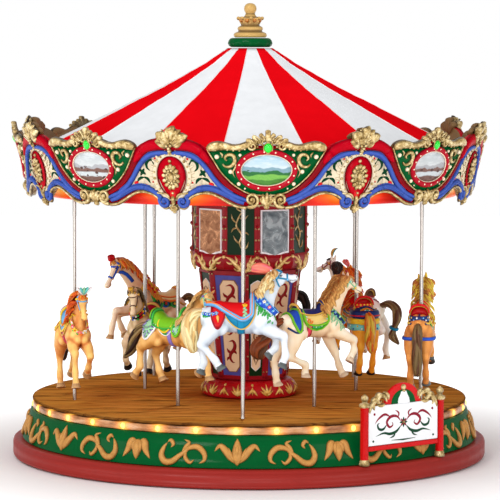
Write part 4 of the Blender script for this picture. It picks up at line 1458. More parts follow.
            # scrolls and beads on the green
            cs = [(q * u, z) for u, z in ((24.2, 178.0), (22.4, 176.6), (19.8, 176.9), (17.8, 178.9), (17.5, 181.4), (19.0, 183.2), (21.6, 183.0), (22.8, 181.2), (21.8, 179.9))]
            p = smooth_line(cs, 4)
            n = len(p)
            strip(b, surf, p, [0.45 + 0.75 * math.sin(math.pi * min(1, i / (n - 1) * 1.02)) for i in range(n)], [1.0 + 0.9 * math.sin(math.pi * i / (n - 1)) for i in range(n)], C_GOLD, 0.75, 7, 0.8)
            leaf(b, surf, [(q * 17.8, 180.4), (q * 17.0, 177.0), (q * 18.6, 173.6), (q * 17.4, 170.6)], 0.6, 1.1, C_GOLD, 0.75, 0.8)
            leaf(b, surf, [(q * 25.6, 184.6), (q * 24.2, 183.0), (q * 24.6, 181.4)], 0.6, 1.0, C_GOLD, 0.75, 0.8)
            for u, z, r in ((27.3, 182.0, 1.35), (14.6, 183.0, 0.95), (19.9, 173.9, 1.25), (15.4, 167.2, 1.15), (12.0, 164.6, 0.55)):
                bead(b, surf, q * u, z, r, C_PALE, base=0.75, high=r * 1.1, seg=10, rings=6, wash=0.7)
        # medallion
        me = lambda a, c, n=52, zc=171.0: [(MID + a * math.cos(math.tau * i / n), zc + (c * math.sin(math.tau * i / n) if math.sin(math.tau * i / n) > 0 else c * 1.05 * math.sin(math.tau * i / n))) for i in range(n)]
        strip(b, surf, me(10.2, 11.8), 1.5, 1.0, C_CREAM, 0.5, 7, 0.7, closed=True)
        for i in range(26):
            a = math.tau * (i + 0.5) / 26
            if math.sin(a) < -0.72:
                continue
            cu, cz = math.cos(a), math.sin(a)
            leaf(b, surf, [(MID + 10.8 * cu, 171.0 + 12.4 * cz), (MID + 12.2 * cu, 171.0 + 13.6 * cz + 0.3), (MID + 13.9 * cu, 171.0 + 14.4 * cz + 1.0)], 0.72, 0.9, C_CREAM, 0.5, 0.7, peak=0.5)
        drop = [(MID + 8.2 * math.sin(t) * (1.0 if math.cos(t) > 0 else max(0.0, 1.0 - 0.55 * (-math.cos(t)) ** 3)), 171.4 + (10.4 * math.cos(t) if math.cos(t) > 0 else 13.6 * math.cos(t))) for t in np.linspace(0, math.tau, 57)[:-1]]
        top_z = lambda u: 171.4 + 10.4 * math.sqrt(max(0.0, 1 - ((u - MID) / 8.3) ** 2))
        foot_z = lambda u: 171.4 - 13.8 * max(0.0, 1 - abs((u - MID) / 8.3) ** 1.5) ** 0.95
        field(b, surf, list(MID + 8.25 * np.sin(np.linspace(-math.pi / 2, math.pi / 2, 29))), foot_z, lambda u: max(top_z(u), foot_z(u) + 0.2), 1.55, C_FIELD, rows=9, thick=1.3)
        strip(b, surf, drop, 0.3, 0.9, C_MAROON, 1.2, 5, 0.8, closed=True)
        for i in range(22):
            a = math.tau * (i + 0.5) / 22
            if math.sin(a) < -0.8:
                continue
            r = 0.55 + 0.2 * ((i * 7) % 3)
            bead(b, surf, MID + 10.3 * math.cos(a), 171.4 + 11.9 * math.sin(a), r, C_GOLD, base=1.2, high=0.8, seg=7, rings=4, wash=0.8)
        # knobbly wreath round a boss
        bead(b, surf, MID, 170.6, 3.9, C_GOLD, rz=5.4, base=1.7, high=0.9, seg=20, rings=6, wash=1.0)
        for i in range(13):
            a = math.tau * (i + 0.2) / 13
            cu, cz = math.cos(a), math.sin(a)
            grow = 1.0 + 0.18 * math.sin(3.1 * i)
            leaf(b, surf, [(MID + 2.6 * cu, 170.6 + 3.8 * cz), (MID + 3.8 * cu - 0.3 * cz, 170.6 + 5.4 * cz), (MID + 5.2 * cu * grow, 170.6 + 7.2 * cz * grow)], 1.35, 1.7, C_GOLD, 1.8, 1.0, peak=0.6)
            bead(b, surf, MID + 4.3 * cu, 170.6 + 6.1 * cz, 1.1, C_GOLD, base=2.3, high=1.3, seg=8, rings=5, wash=0.55)
        for i in range(9):
            a = math.tau * i / 9
            bead(b, surf, MID + 2.4 * math.cos(a), 170.6 + 3.5 * math.sin(a), 0.85, C_GOLD, base=2.3, high=1.2, seg=8, rings=5, wash=0.9)
        bead(b, surf, MID, 170.4, 1.7, C_GOLD, rz=2.9, base=2.2, high=2.2, seg=14, rings=7, wash=0.7)
        bead(b, surf, MID - 0.3, 179.3, 1.0, C_GOLD, base=1.7, high=1.1, seg=10, rings=6, wash=0.8)
        bead(b, surf, MID + 0.2, 161.6, 0.8, C_GOLD, base=1.7, high=1.0, seg=8, rings=5, wash=0.8)
        # red tongue, gold straps, blue volutes and the gold drop under it
        leaf(b, surf, [(MID, 164.4), (MID, 160.0), (MID, 156.0)], 2.6, 1.2, C_BRIGHT, 0.7, 0.2)
        for q in (-1, 1):
            f = lambda x: MID + q * x
            curl(b, surf, [(f(x), z) for x, z in spiral(5.4, 156.9, 3.6, 0.6, 60, -420, 36)], 1.35, 0.9, 2.3, C_BLUE, 0.3, 0.7)
            bead(b, surf, f(5.4), 156.9, 1.2, C_BLUE, base=0.9, high=2.0)
            st = smooth_line([(f(9.2), 161.6), (f(7.2), 161.4), (f(5.0), 161.3), (f(3.0), 160.4), (f(1.9), 158.2)], 4)
            strip(b, surf, st, 0.6, 1.7, C_GOLD, 0.9, 7, 0.8)
            under = smooth_line([(f(8.4), 157.4), (f(8.0), 154.4), (f(5.6), 152.9), (f(3.4), 153.6)], 4)
            strip(b, surf, under, 0.6, 1.6, C_GOLD, -0.3, 7, 0.9)
        leaf(b, surf, [(MID, 160.8), (MID, 157.4), (MID, 153.6)], 1.5, 2.8, C_GOLD, 0.6, 0.9, peak=0.4)
        bead(b, surf, MID, 153.2, 2.8, C_GOLD, rz=1.8, base=0.2, high=3.0, seg=14, rings=8, wash=0.9)
        for i in range(8):
            a = math.tau * (i + 0.3) / 8
            bead(b, surf, MID + 1.9 * math.cos(a), 153.2 + 1.2 * math.sin(a), 0.75, C_GOLD, base=1.6, high=1.4, seg=8, rings=5, wash=0.6)
        bead(b, surf, MID, 151.5, 1.25, C_GOLD, rz=1.3, base=0.2, high=1.9, seg=12, rings=7, wash=0.8)
        # crest over the medallion: stem, chevron leaf and two rolled wings, gold in front and brown behind
        bead(b, surf, MID, 183.6, 1.5, C_GOLD, rz=1.3, base=0.6, high=1.8)
        leaf(b, surf, [(MID, 183.0), (MID, 185.4), (MID, 188.4)], 1.3, 2.4, C_GOLD, 1.0, 0.8)
        slab(b, surf, [(MID - 1.0, 187.4, 0.8), (MID - 2.8, 190.6, 1.8), (MID - 3.7, 193.4, 2.4), (MID - 3.8, 195.8, 2.0)], 2.9, 2.3, C_GOLD)
        slab(b, surf, [(MID - 1.6, 186.6, 0.8), (MID - 3.8, 188.4, 1.6), (MID - 5.4, 190.2, 2.2), (MID - 6.2, 191.4, 2.0)], 1.9, 2.0, C_GOLD)
        slab(b, surf, [(MID + 0.4, 188.4, 0.8), (MID + 0.6, 192.0, 1.6), (MID + 1.2, 195.4, 2.0), (MID + 1.8, 197.6, 1.6)], 2.6, 2.3, C_GOLD)
        leaf(b, surf, [(MID + 0.6, 193.0), (MID + 1.9, 196.0), (MID + 3.6, 198.8)], 2.6, 2.6, C_GOLD, 1.4, 1.0, peak=0.5)
        slab(b, surf, [(MID + 1.6, 187.4, 0.9), (MID + 3.6, 189.8, 1.8), (MID + 5.6, 191.8, 2.4), (MID + 7.0, 192.8, 2.2)], 2.7, 2.2, C_GOLD)
        leaf(b, surf, [(MID + 3.8, 190.2), (MID + 7.0, 192.2), (MID + 10.8, 193.4)], 3.0, 3.0, C_GOLD, 1.7, 1.0, peak=0.5)
        leaf(b, surf, [(MID + 3.0, 192.0), (MID + 4.6, 194.6), (MID + 7.0, 196.6)], 1.9, 2.6, C_GOLD, 1.6, 1.0, peak=0.5)
        leaf(b, surf, [(MID + 2.4, 187.0), (MID + 5.0, 188.0), (MID + 8.2, 190.0)], 1.5, 2.4, C_GOLD, 1.2, 1.0, peak=0.5)
        for x0, z0, x1, z1 in ((-2.4, 189.4, -5.4, 195.8), (-1.6, 190.4, -2.6, 196.8), (-3.4, 188.6, -7.2, 190.8), (0.6, 190.4, 1.8, 196.6), (2.2, 189.4, 6.4, 193.6), (3.0, 188.4, 7.4, 191.4)):
            leaf(b, surf, [(MID + x0, z0), (MID + (x0 + x1) / 2, (z0 + z1) / 2), (MID + x1, z1)], 0.34, 0.7, C_BACK, 3.6, 1.0)
        for x0, z0, r in ((0.2, 186.2, 1.0), (-1.0, 187.6, 0.95), (1.2, 187.8, 1.0), (0.0, 189.2, 1.1), (-1.6, 189.8, 0.9), (1.8, 189.8, 0.9), (0.6, 191.4, 0.95), (-0.8, 191.8, 0.85), (-2.6, 191.4, 0.8), (2.6, 191.6, 0.8), (-1.4, 194.0, 0.7),
                          (-3.8, 193.6, 0.75), (1.4, 193.8, 0.75), (4.4, 192.6, 0.7), (-4.6, 190.2, 0.75), (4.2, 190.2, 0.7), (-5.4, 195.0, 0.6), (-2.8, 196.4, 0.6), (2.4, 196.4, 0.6), (6.6, 192.6, 0.55)):
            bead(b, surf, MID + x0, z0, r, C_GOLD, base=3.1, high=1.3, seg=8, rings=5, wash=0.9)
        slab(b, surf, [(MID - 0.6, 188.2, 2.2), (MID - 1.0, 190.2, 3.2), (MID - 1.4, 192.0, 3.8)], 2.2, 1.8, C_GOLD)
        for q in (-1, 1):
            slab(b, lambda u, z, h: surf(u, z, -h), [(MID + q * 1.6, 187.6, 0.8), (MID + q * 3.8, 190.4, 1.6), (MID + q * 5.4, 193.0, 2.0), (MID + q * 6.4, 194.6, 1.2)], 2.4, 1.6, C_BACK)
        slab(b, lambda u, z, h: surf(u, z, -h), [(MID, 187.4, 0.8), (MID + 0.2, 191.4, 1.8), (MID + 0.6, 195.2, 2.0), (MID + 0.8, 197.8, 1.0)], 3.1, 1.7, C_BACK)
        b.m = [C_PIC + 1 if x == C_MAROON + 100 else x for x in b.m]
        for m in (red, field_red, MAROON, GREEN, BLUE, leaf_green, OVAL_RED, CREAM):
            m.node_tree.nodes["Principled BSDF"].inputs["Specular IOR Level"].default_value = 0.02
        mats = [red, MAROON, GREEN, GOLD, BLUE, CREAM, leaf_green, BRIGHT_RED, PALE, GEM, back, picture_material(k), OVAL_RED, field_red]
        obj = b.object(f"cornice_relief_{k + 1}", mats)
        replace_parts(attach(obj, "turntable"), f"cornice_board_{k + 1}")


OVAL_RED = paint("oval_frame_red", lin(170, 14, 34), 0.28, wash=lin(80, 4, 14), coat=0.4)

# ------------------------------------------------------------------ horses
def ico(level):
    bm = bmesh.new()
    bmesh.ops.create_icosphere(bm, subdivisions=level, radius=1.0)
    v = np.array([tuple(x.co) for x in bm.verts])
    f = [tuple(x.index for x in p.verts) for p in bm.faces]
    bm.free()
    return v, f


BALL_V, BALL_F = ico(3)


def leaned(point, pitch):
    x, y, z, r = point
    a = math.radians(pitch)
    dz = z + 8.0
    return (x * math.cos(a) - dz * math.sin(a), y, x * math.sin(a) + dz * math.cos(a) - 8.0, r)


def unit(v):
    v = np.array(v, float)
    return v / max(np.linalg.norm(v), 1e-9)


def band(b, pts, nrm, w, th, mat, closed=True, wash=0.0, edge=0.45):
    """A flat strap along a line on a body: w is its half width, th its thickness."""
    p, q = np.array(pts, float), np.array(nrm, float)
    n = len(p)
    t = np.roll(p, -1, 0) - np.roll(p, 1, 0) if closed else np.gradient(p, axis=0)
    t /= np.maximum(np.linalg.norm(t, axis=1, keepdims=True), 1e-9)
    q = q - t * np.sum(q * t, axis=1, keepdims=True)
    q /= np.maximum(np.linalg.norm(q, axis=1, keepdims=True), 1e-9)
    s = np.cross(t, q)
    w = np.broadcast_to(np.asarray(w, float), (n,))
    prof = [(-1.0, -0.5), (-1.0, 0.45), (-0.6, 1.0), (0.0, 1.15), (0.6, 1.0), (1.0, 0.45), (1.0, -0.5)]
    verts, washes = [], []
    for i in range(n):
        for a, h in prof:
            verts.append(p[i] + s[i] * w[i] * a + q[i] * th * h)
            washes.append(wash + (edge if abs(a) == 1.0 else 0.0))
    o = len(b.v)
    m = len(prof)
    b.add(verts, grid_faces(n, m, wrap_r=closed, wrap_c=True), mat, True, washes)
    if not closed:
        b.f += [tuple(o + k for k in range(m)), tuple(o + (n - 1) * m + k for k in range(m - 1, -1, -1))]
        b.m += [mat, mat]
        b.s += [True, True]


class Horse:
    """One carved and painted horse. Its own frame: the pole at x = y = 0, head towards +x, the ring's outside at -y."""

    def __init__(self, name):
        self.name, self.h = name, HORSES[name]
        self.lean = self.h["pitch"]
        self.b = Build()
        self.mats, self.index = [], {}
        self.rng = random.Random(name)
        self.skin()

    def mat(self, key):
        if key not in self.index:
            self.index[key] = len(self.mats)
            self.mats.append(HORSE_PAINT[key] if key in HORSE_PAINT else key)
        return self.index[key]

    # ---- the carved body
    def skin(self):
        h, lean = self.h, self.lean
        V, F = [], []
        count = 0

        def put(p, r, flat=1.0, axes=None):
            nonlocal count
            v = BALL_V * np.array((r, r * flat, r)) if axes is None else BALL_V @ np.array(axes)
            V.append(v + np.array(p[:3]))
            F.extend((a + count, c + count, d + count) for a, c, d in BALL_F)
            count += len(BALL_V)

        def chain(rows, flat=1.0, per=5, step=0.3):
            line = smooth_line(rows, per)
            for a, c in zip(line, line[1:]):
                n = max(1, int(np.linalg.norm(c[:3] - a[:3]) / (step * min(a[3], c[3]))))
                for k in range(n):
                    q = a + (c - a) * k / n
                    put(q, q[3], flat)
            put(line[-1], line[-1][3], flat)

        L = lambda *p: leaned(p, lean)
        chain([L(-15.0, 0, -9.2, 7.9), L(-9.5, 0, -8.6, 7.6), L(-3.0, 0, -8.9, 7.6), L(3.0, 0, -9.1, 8.0), L(8.8, 0, -8.4, 8.1)], 0.82, 3, 0.4)
        for s in (-1, 1):
            for p in (L(-15.6, s * 3.4, -10.4, 5.6), L(-12.0, s * 3.9, -13.6, 4.2), L(-18.6, s * 2.2, -7.6, 4.2), L(9.6, s * 3.1, -9.8, 5.3), L(12.6, s * 2.3, -9.4, 4.6),
                      L(14.6, s * 1.9, -11.4, 3.5), L(8.4, s * 2.6, -13.2, 4.2), L(-12.6, s * 1.7, -4.2, 3.9), L(6.6, s * 1.0, -3.4, 3.6)):
                put(p, p[3], 0.85)
        neck = [L(7.4, 0, -6.6, 7.2)] + h["neck"]
        a0, a1 = np.array(h["head"][0]), np.array(h["head"][1])
        chain(neck + [tuple(a0[:3]) + (3.5,)], 0.66, 5, 0.3)
        chain([L(11.4, 0, -8.6, 5.8), tuple((np.array(h["neck"][0]) * 0.5 + np.array(h["neck"][1]) * 0.5) + np.array((1.4, 0, -1.0, -1.4))), tuple(np.array(h["neck"][2]) + np.array((1.2, 0, -1.4, -1.2)))], 0.6, 4)
        d = unit(a1[:3] - a0[:3])
        lat = unit(np.cross(d, np.cross((0, 1.0, 0), d)))
        nn = unit(np.cross(lat, d))
        if nn[2] < 0 and nn[0] < 0:
            nn = -nn
        if np.dot(nn, (0.4, 0, 1.0)) < 0:
            nn = -nn
        lat = np.cross(d, nn)
        self.hd, self.hn, self.hl, self.h0, self.h1 = d, nn, lat, a0[:3], a1[:3]
        size = np.linalg.norm(a1[:3] - a0[:3])

        def face(p, rd, rl, rn):
            put(p, 1.0, axes=(d * rd * 1.08, lat * rl * 1.14, nn * rn * 1.1))

        self.face_at = lambda u, v, w: self.h0 + d * u + nn * v + lat * w
        P = self.face_at
        face(P(-0.4, 0.7, 0), 3.3, 2.45, 3.0)
        face(P(0.4, -1.0, 0), 3.3, 2.35, 3.0)
        for k in range(12):
            t = k / 11
            u = 0.8 + (size + 0.6) * t
            rn = 3.0 - 1.55 * math.sin(min(1.0, t * 1.25) * math.pi / 2) + 0.55 * max(0, t - 0.75) * 4 * 0.5
            rl = 2.3 - 1.0 * math.sin(min(1.0, t * 1.2) * math.pi / 2) + 0.75 * max(0, t - 0.7) * 3.3 * 0.5
            face(P(u, 0.55 - 0.75 * t, 0), 1.5, rl, rn)
        face(P(size + 0.6, -0.5, 0), 1.7, 1.75, 1.75)
        face(P(size - 0.2, -1.9, 0), 1.35, 1.1, 0.95)
        for s in (-1, 1):
            face(P(size + 1.2, 0.35, s * 0.95), 1.05, 0.75, 0.85)
            face(P(1.5, 1.75, s * 1.45), 1.5, 0.95, 1.0)
            face(P(3.4, -0.5, s * 1.35), 2.4, 0.7, 0.7)
        # legs
        self.feet = []
        for key, s, front in (("fr", -1, True), ("fl", 1, True), ("hr", -1, False), ("hl", 1, False)):
            knee, fet, hoof = h[key]
            y = s * 4.3
            K, T, O = np.array((knee[0], y, knee[1])), np.array((fet[0], y, fet[1])), np.array((hoof[0], y, hoof[1]))
            if front:
                top = L(9.8, s * 2.9, -12.2, 4.4)
                mid = np.array(((top[0] + K[0]) / 2, y, (top[2] + K[2]) / 2 - 0.3))
                rows = [top, (*mid, 3.5), (*(mid * 0.3 + K * 0.7), 2.75), (*K, 2.6), (*(K * 0.72 + T * 0.28), 1.95), (*(K * 0.35 + T * 0.65), 1.85), (*T, 2.3), (*(T * 0.45 + O * 0.55), 1.95), (*O, 2.3)]
            else:
                top = L(-14.8, s * 3.2, -12.0, 6.0)
                mid = np.array((top[0] * 0.45 + K[0] * 0.55, y, top[2] * 0.5 + K[2] * 0.5))
                back = unit(np.array((-1.0, 0, -0.2)))
                rows = [top, (*mid, 4.4), (*(mid * 0.35 + K * 0.65), 3.1), (*K, 2.75), (*(K * 0.72 + T * 0.28), 2.05), (*(K * 0.35 + T * 0.65), 1.9), (*T, 2.35), (*(T * 0.45 + O * 0.55), 1.95), (*O, 2.35)]
                put(K + back * 0.9 + np.array((0, 0, 0.9)), 1.35)
            chain(rows, 0.92, 4, 0.35)
            go = unit(O - T)
            side = np.array((0, 1.0, 0))
            toe = np.cross(side, go)
            if toe[0] < 0:
                toe = -toe
            put(T - toe * 0.9, 1.2)
            self.feet.append((O, go, toe))
        tail0 = L(-20.6, 0, -5.0, 2.2)
        put(tail0, 2.2)
        verts = np.vstack(V)
        mesh = bpy.data.meshes.new("skin")
        mesh.from_pydata(verts.tolist(), [], F)
        tmp = bpy.data.objects.new("skin", mesh)
        bpy.context.scene.collection.objects.link(tmp)
        rm = tmp.modifiers.new("remesh", "REMESH")
        rm.mode = "VOXEL"
        rm.voxel_size = 0.62
        sm = tmp.modifiers.new("smooth", "SMOOTH")
        sm.factor, sm.iterations = 0.5, 6
        deps = bpy.context.evaluated_depsgraph_get()
        done = bpy.data.meshes.new_from_object(tmp.evaluated_get(deps))
        bpy.data.objects.remove(tmp)
        bpy.data.meshes.remove(mesh)
        n = len(done.vertices)
        co = np.empty(n * 3)
        done.vertices.foreach_get("co", co)
        co = co.reshape(-1, 3)
        nr = np.empty(n * 3, np.float32)
        done.vertices.foreach_get("normal", nr)
        nr = nr.reshape(-1, 3)
        e = np.empty(len(done.edges) * 2, np.int32)
        done.edges.foreach_get("vertices", e)
        e = e.reshape(-1, 2)
        faces = [tuple(p.vertices) for p in done.polygons]
        bpy.data.meshes.remove(done)
        # hollows hold dark paint, ridges are dry-brushed light; the feeling is spread over a few rings of vertices
        s, c = np.zeros((n, 3)), np.zeros(n)
        np.add.at(s, e[:, 0], co[e[:, 1]])
        np.add.at(s, e[:, 1], co[e[:, 0]])
        np.add.at(c, e.ravel(), 1)
        cav = np.sum((s / np.maximum(c, 1)[:, None] - co) * nr, axis=1)
        for _ in range(4):
            t = np.zeros(n)
            np.add.at(t, e[:, 0], cav[e[:, 1]])
            np.add.at(t, e[:, 1], cav[e[:, 0]])
            cav = 0.5 * cav + 0.5 * t / np.maximum(c, 1)
        tone = np.clip(cav * 16.0, -0.55, 0.9)
        tone += np.clip(-nr[:, 2] - 0.35, 0, 1) * 0.45 - np.clip(nr[:, 2] - 0.5, 0, 1) * 0.25
        tone += np.clip((-24.0 - co[:, 2]) / 14.0, 0, 1) * 0.18
        wobble = np.array([math.sin(x * 0.9 + 1.3 * y) * math.sin(z * 0.7 + x * 0.3) for x, y, z in co[:, :3]]) * 0.10
        self.co, self.nr = co, nr
        self.tree = BVHTree.FromPolygons([Vector(p) for p in co], faces)
        self.b.add(co, faces, self.mat("coat_" + self.name), True, (tone + wobble).tolist())
        # neck line from poll to withers, with the way to the crest
        line = [tuple(self.h0 - self.hd * 1.0)] + [tuple(p[:3]) for p in h["neck"][::-1]] + [L(6.0, 0, -6.0, 1)[:3], L(1.0, 0, -8.0, 1)[:3]]
        self.neck = smooth_line(line, 8)
        self.neck_t = np.gradient(self.neck, axis=0)
        self.neck_t /= np.linalg.norm(self.neck_t, axis=1, keepdims=True)

    # ---- finding places on the body
    def hit(self, c, d, reach=14.0):
        c, d = np.array(c, float), unit(d)
        loc, nor, idx, dist = self.tree.ray_cast(Vector(c + d * reach), Vector(-d), reach)
        if loc is None:
            return np.array(c) + d * 2.0, d
        return np.array(loc), np.array(nor)

    def on(self, x, phi, lift=0.0, reach=13.0):
        """A point on the trunk at x, phi degrees from the top, -y being negative."""
        a = math.radians(phi)
        p = leaned((x, 0, -8.8, 0), self.lean)[:3]
        r = math.radians(self.lean)
        d = np.array((-math.cos(a) * math.sin(r), math.sin(a), math.cos(a) * math.cos(r)))
        loc, _ = self.hit(p, d, reach)
        return loc + d * lift, d

    def crest(self, t, ang=0.0, reach=11.0):
        """A point on the neck: t from poll (0) to withers (1), ang degrees from the crest."""
        f = t * (len(self.neck) - 1)
        i = min(int(f), len(self.neck) - 2)
        p = self.neck[i] + (self.neck[i + 1] - self.neck[i]) * (f - i)
        g = unit(self.neck_t[i] + (self.neck_t[min(i + 1, len(self.neck_t) - 1)] - self.neck_t[i]) * (f - i))
        up = unit(np.cross(np.array((0, 1.0, 0)), g))
        if up[2] < 0 and up[0] > 0 or up[0] > 0.3:
            up = -up
        lat = np.array((0, 1.0, 0))
        a = math.radians(ang)
        d = up * math.cos(a) + lat * math.sin(a)
        loc, nor = self.hit(p, d, reach)
        return loc, d, g

    def hoop(self, top, low, n=40, reach=5.0, lift=0.25, side=None, arc=(0.0, 360.0), y=0.0):
        """Points round the body in the plane through two (x, z) points, outermost hits."""
        a, c = np.array((top[0], y, top[1])), np.array((low[0], y, low[1]))
        mid, up = (a + c) / 2, unit(a - c)
        r0 = np.linalg.norm(a - c) / 2 + reach
        lat = np.array((0, 1.0, 0)) if side is None else np.array(side, float)
        pts, nrm = [], []
        for k in range(n):
            g = math.radians(arc[0] + (arc[1] - arc[0]) * k / (n if arc[1] - arc[0] >= 360 else n - 1))
            d = up * math.cos(g) + lat * math.sin(g)
            loc, _ = self.hit(mid, d, r0)
            pts.append(loc + d * lift)
            nrm.append(d)
        pts = np.array(pts)
        closed = arc[1] - arc[0] >= 360
        for _ in range(2):
            q = pts.copy()
            if closed:
                q = pts * 0.5 + (np.roll(pts, 1, 0) + np.roll(pts, -1, 0)) * 0.25
            else:
                q[1:-1] = pts[1:-1] * 0.5 + (pts[:-2] + pts[2:]) * 0.25
            pts = q
        return pts, np.array(nrm)

    def face_hoop(self, u, n=26, lift=0.2, tilt=0.0, v=0.0):
        """Points round the head at u along it."""
        c = self.face_at(u, v, 0)
        up = unit(self.hn + self.hd * tilt)
        pts, nrm = [], []
        for k in range(n):
            g = math.tau * k / n
            d = up * math.cos(g) + self.hl * math.sin(g)
            loc, _ = self.hit(c, d, 5.2)
            pts.append(loc + d * lift)
            nrm.append(d)
        pts = np.array(pts)
        for _ in range(2):
            pts = pts * 0.5 + (np.roll(pts, 1, 0) + np.roll(pts, -1, 0)) * 0.25
        return pts, np.array(nrm)

    # ---- hair
    def lock(self, start, go, length, width, mat, thick=0.5, fall=0.16, wave=0.35, freq=0.75, lift=0.35, steps=None, phase=None, tip=0.12, sides=7, wash=0.0):
        """A lock of hair laid over the body: it starts along go and is drawn down while the body keeps it out."""
        step = 0.85
        n = steps or max(6, int(length / step))
        step = length / n
        p, v = np.array(start, float), unit(go)
        ph = self.rng.uniform(0, math.tau) if phase is None else phase
        pts, nrm = [], []
        for k in range(n + 1):
            co, no, idx, dist = self.tree.find_nearest(Vector(p), 8.0)
            if co is not None:
                co, no = np.array(co), np.array(no)
                dd = float(np.dot(p - co, no))
                if dd < lift:
                    p = co + no * lift
            else:
                no = np.array((0, 0, 1.0))
            perp = unit(np.cross(no, v))
            amp = wave * math.sin(ph + freq * k * step) * min(1.0, k / 3.0)
            pts.append(p + perp * amp)
            nrm.append(no)
            v = unit(v * (1 - fall) + np.array((0, 0, -1.0)) * fall)
            p = p + v * step
        t = np.linspace(0, 1, len(pts))
        w = width * np.clip(np.minimum(0.55 + t * 2.5, (1.0 - t) * 2.2 + tip), tip, 1.0)
        w[-1] = 0.08
        tube(self.b, pts, w, np.maximum(w * thick, 0.08), sides=sides + (sides % 2), mat=self.mat(mat), normals=nrm, groove=0.2, wash_ends=0.15, wash=wash)

    def mane(self, mats, n=15, sides_of=(-1, 1), length=9.0, width=1.25, t0=0.0, t1=0.86, fall=0.14, wave=0.4, layers=2, bush=0.3, back=0.35, ang=16):
        for layer in range(layers):
            for s in sides_of:
                for k in range(n if layer == 0 else max(6, int(n * 0.8))):
                    n_l = n if layer == 0 else max(6, int(n * 0.8))
                    t = t0 + (t1 - t0) * (k + 0.5 * layer + self.rng.uniform(-0.2, 0.2)) / n_l
                    loc, d, g = self.crest(max(0.0, min(1.0, t)), s * (8 + ang * layer))
                    ln = length * (0.8 + 0.35 * self.rng.random()) * (0.75 if layer else 1.0)
                    go = d * 0.15 + g * back + np.array((0, s * 1.0, 0.15))
                    m = mats[0] if self.rng.random() < 0.72 else mats[-1]
                    self.lock(loc + d * bush * (1 + layer), go, ln, width * (0.82 if layer else 1.15), m, fall=fall, wave=wave, lift=0.3 + 0.55 * layer, wash=0.0 if layer else 0.4)
        for k in range(n):
            loc, d, g = self.crest(t0 + (t1 - t0) * k / n, self.rng.uniform(-12, 12))
            self.lock(loc + d * 0.5, g + d * 0.3, length * 0.5, width * 0.9, mats[0], fall=0.1, wave=0.3, lift=0.5)

    def forelock(self, mats, n=5, length=4.0, width=0.7):
        for k in range(n):
            w = (k - (n - 1) / 2) * 0.7
            p = self.face_at(-1.6, 3.0, w)
            self.lock(p, self.hd * 1.0 + self.hn * 0.25 + self.hl * 0.12 * w, length * (0.8 + 0.3 * self.rng.random()), width, mats[k % len(mats)], fall=0.02, wave=0.25, lift=0.3)

    def tail(self, mats, n=11, spin=0.8, curl=0.0, wide=1.0):
        rows = [leaned((-19.8, 0, -5.0, 1.6), self.lean)] + [(x, 0, z, r) for x, z, r in TAILS.get(self.name, TAIL)]
        end = np.array(rows[-1])
        d = unit(end[:3] - np.array(rows[-2])[:3])
        rows.append((*(end[:3] + d * 1.8), 0.3))
        line = smooth_line(rows, 7)
        m = len(line)
        tg = np.gradient(line[:, :3], axis=0)
        tg /= np.linalg.norm(tg, axis=1, keepdims=True)
        lat = np.array((0, 1.0, 0))
        for ring_r, count, ww in ((0.0, 1, 0.75), (0.52, n, 0.46)):
            for k in range(count):
                a0 = math.tau * k / count + 0.3
                pts, wid = [], []
                stop = m - (0 if ring_r == 0 else self.rng.randint(0, 4))
                for i in range(stop):
                    t = i / (m - 1)
                    a = a0 + spin * t * 2.0 + 0.42 * math.sin(8.5 * t + 1.9 * k)
                    up = np.cross(lat, tg[i])
                    r = line[i][3] * ring_r * wide * (1.0 + 0.22 * math.sin(11.0 * t + 2.3 * k) * min(1.0, 3 * t) + 0.5 * max(0.0, t - 0.82) / 0.18)
                    pts.append(line[i][:3] + (up * math.cos(a) + lat * math.sin(a)) * r)
                    wid.append(max(0.1, line[i][3] * ww * (1.0 if t < 0.8 else (1 - t) / 0.2 * 0.9 + 0.1)))
                tube(self.b, pts, wid, np.array(wid) * 0.85, sides=8, mat=self.mat(mats[k % len(mats)]), groove=0.14, wash_ends=0.1, wash=0.35 if ring_r == 0 else 0.0)

    # ---- small parts
    def ears(self, mat=None, inner="ear_inner", tilt=0.25, length=3.6):
        m = self.mat(mat or "coat_" + self.name)
        for s in (-1, 1):
            base = self.face_at(-2.1, 2.2, s * 1.35)
            up = unit(self.hn * 0.95 - self.hd * (0.25 + tilt) + self.hl * s * 0.28)
            if up[2] < 0.35:
                up = unit(up + np.array((0, 0, 0.7)))
            pts = [base + up * length * t + self.hl * s * 0.25 * math.sin(math.pi * t) for t in np.linspace(0, 1, 9)]
            w = [0.85, 1.12, 1.22, 1.22, 1.1, 0.92, 0.68, 0.4, 0.1]
            tube(self.b, pts, w, np.array(w) * 0.55, sides=10, mat=m, normals=[self.hd] * 9)
            q = [p + self.hd * 0.5 for p in pts[1:7]]
            tube(self.b, q, np.array(w[1:7]) * 0.5, 0.22, sides=6, mat=self.mat(inner), normals=[self.hd] * 6, wash=0.2)

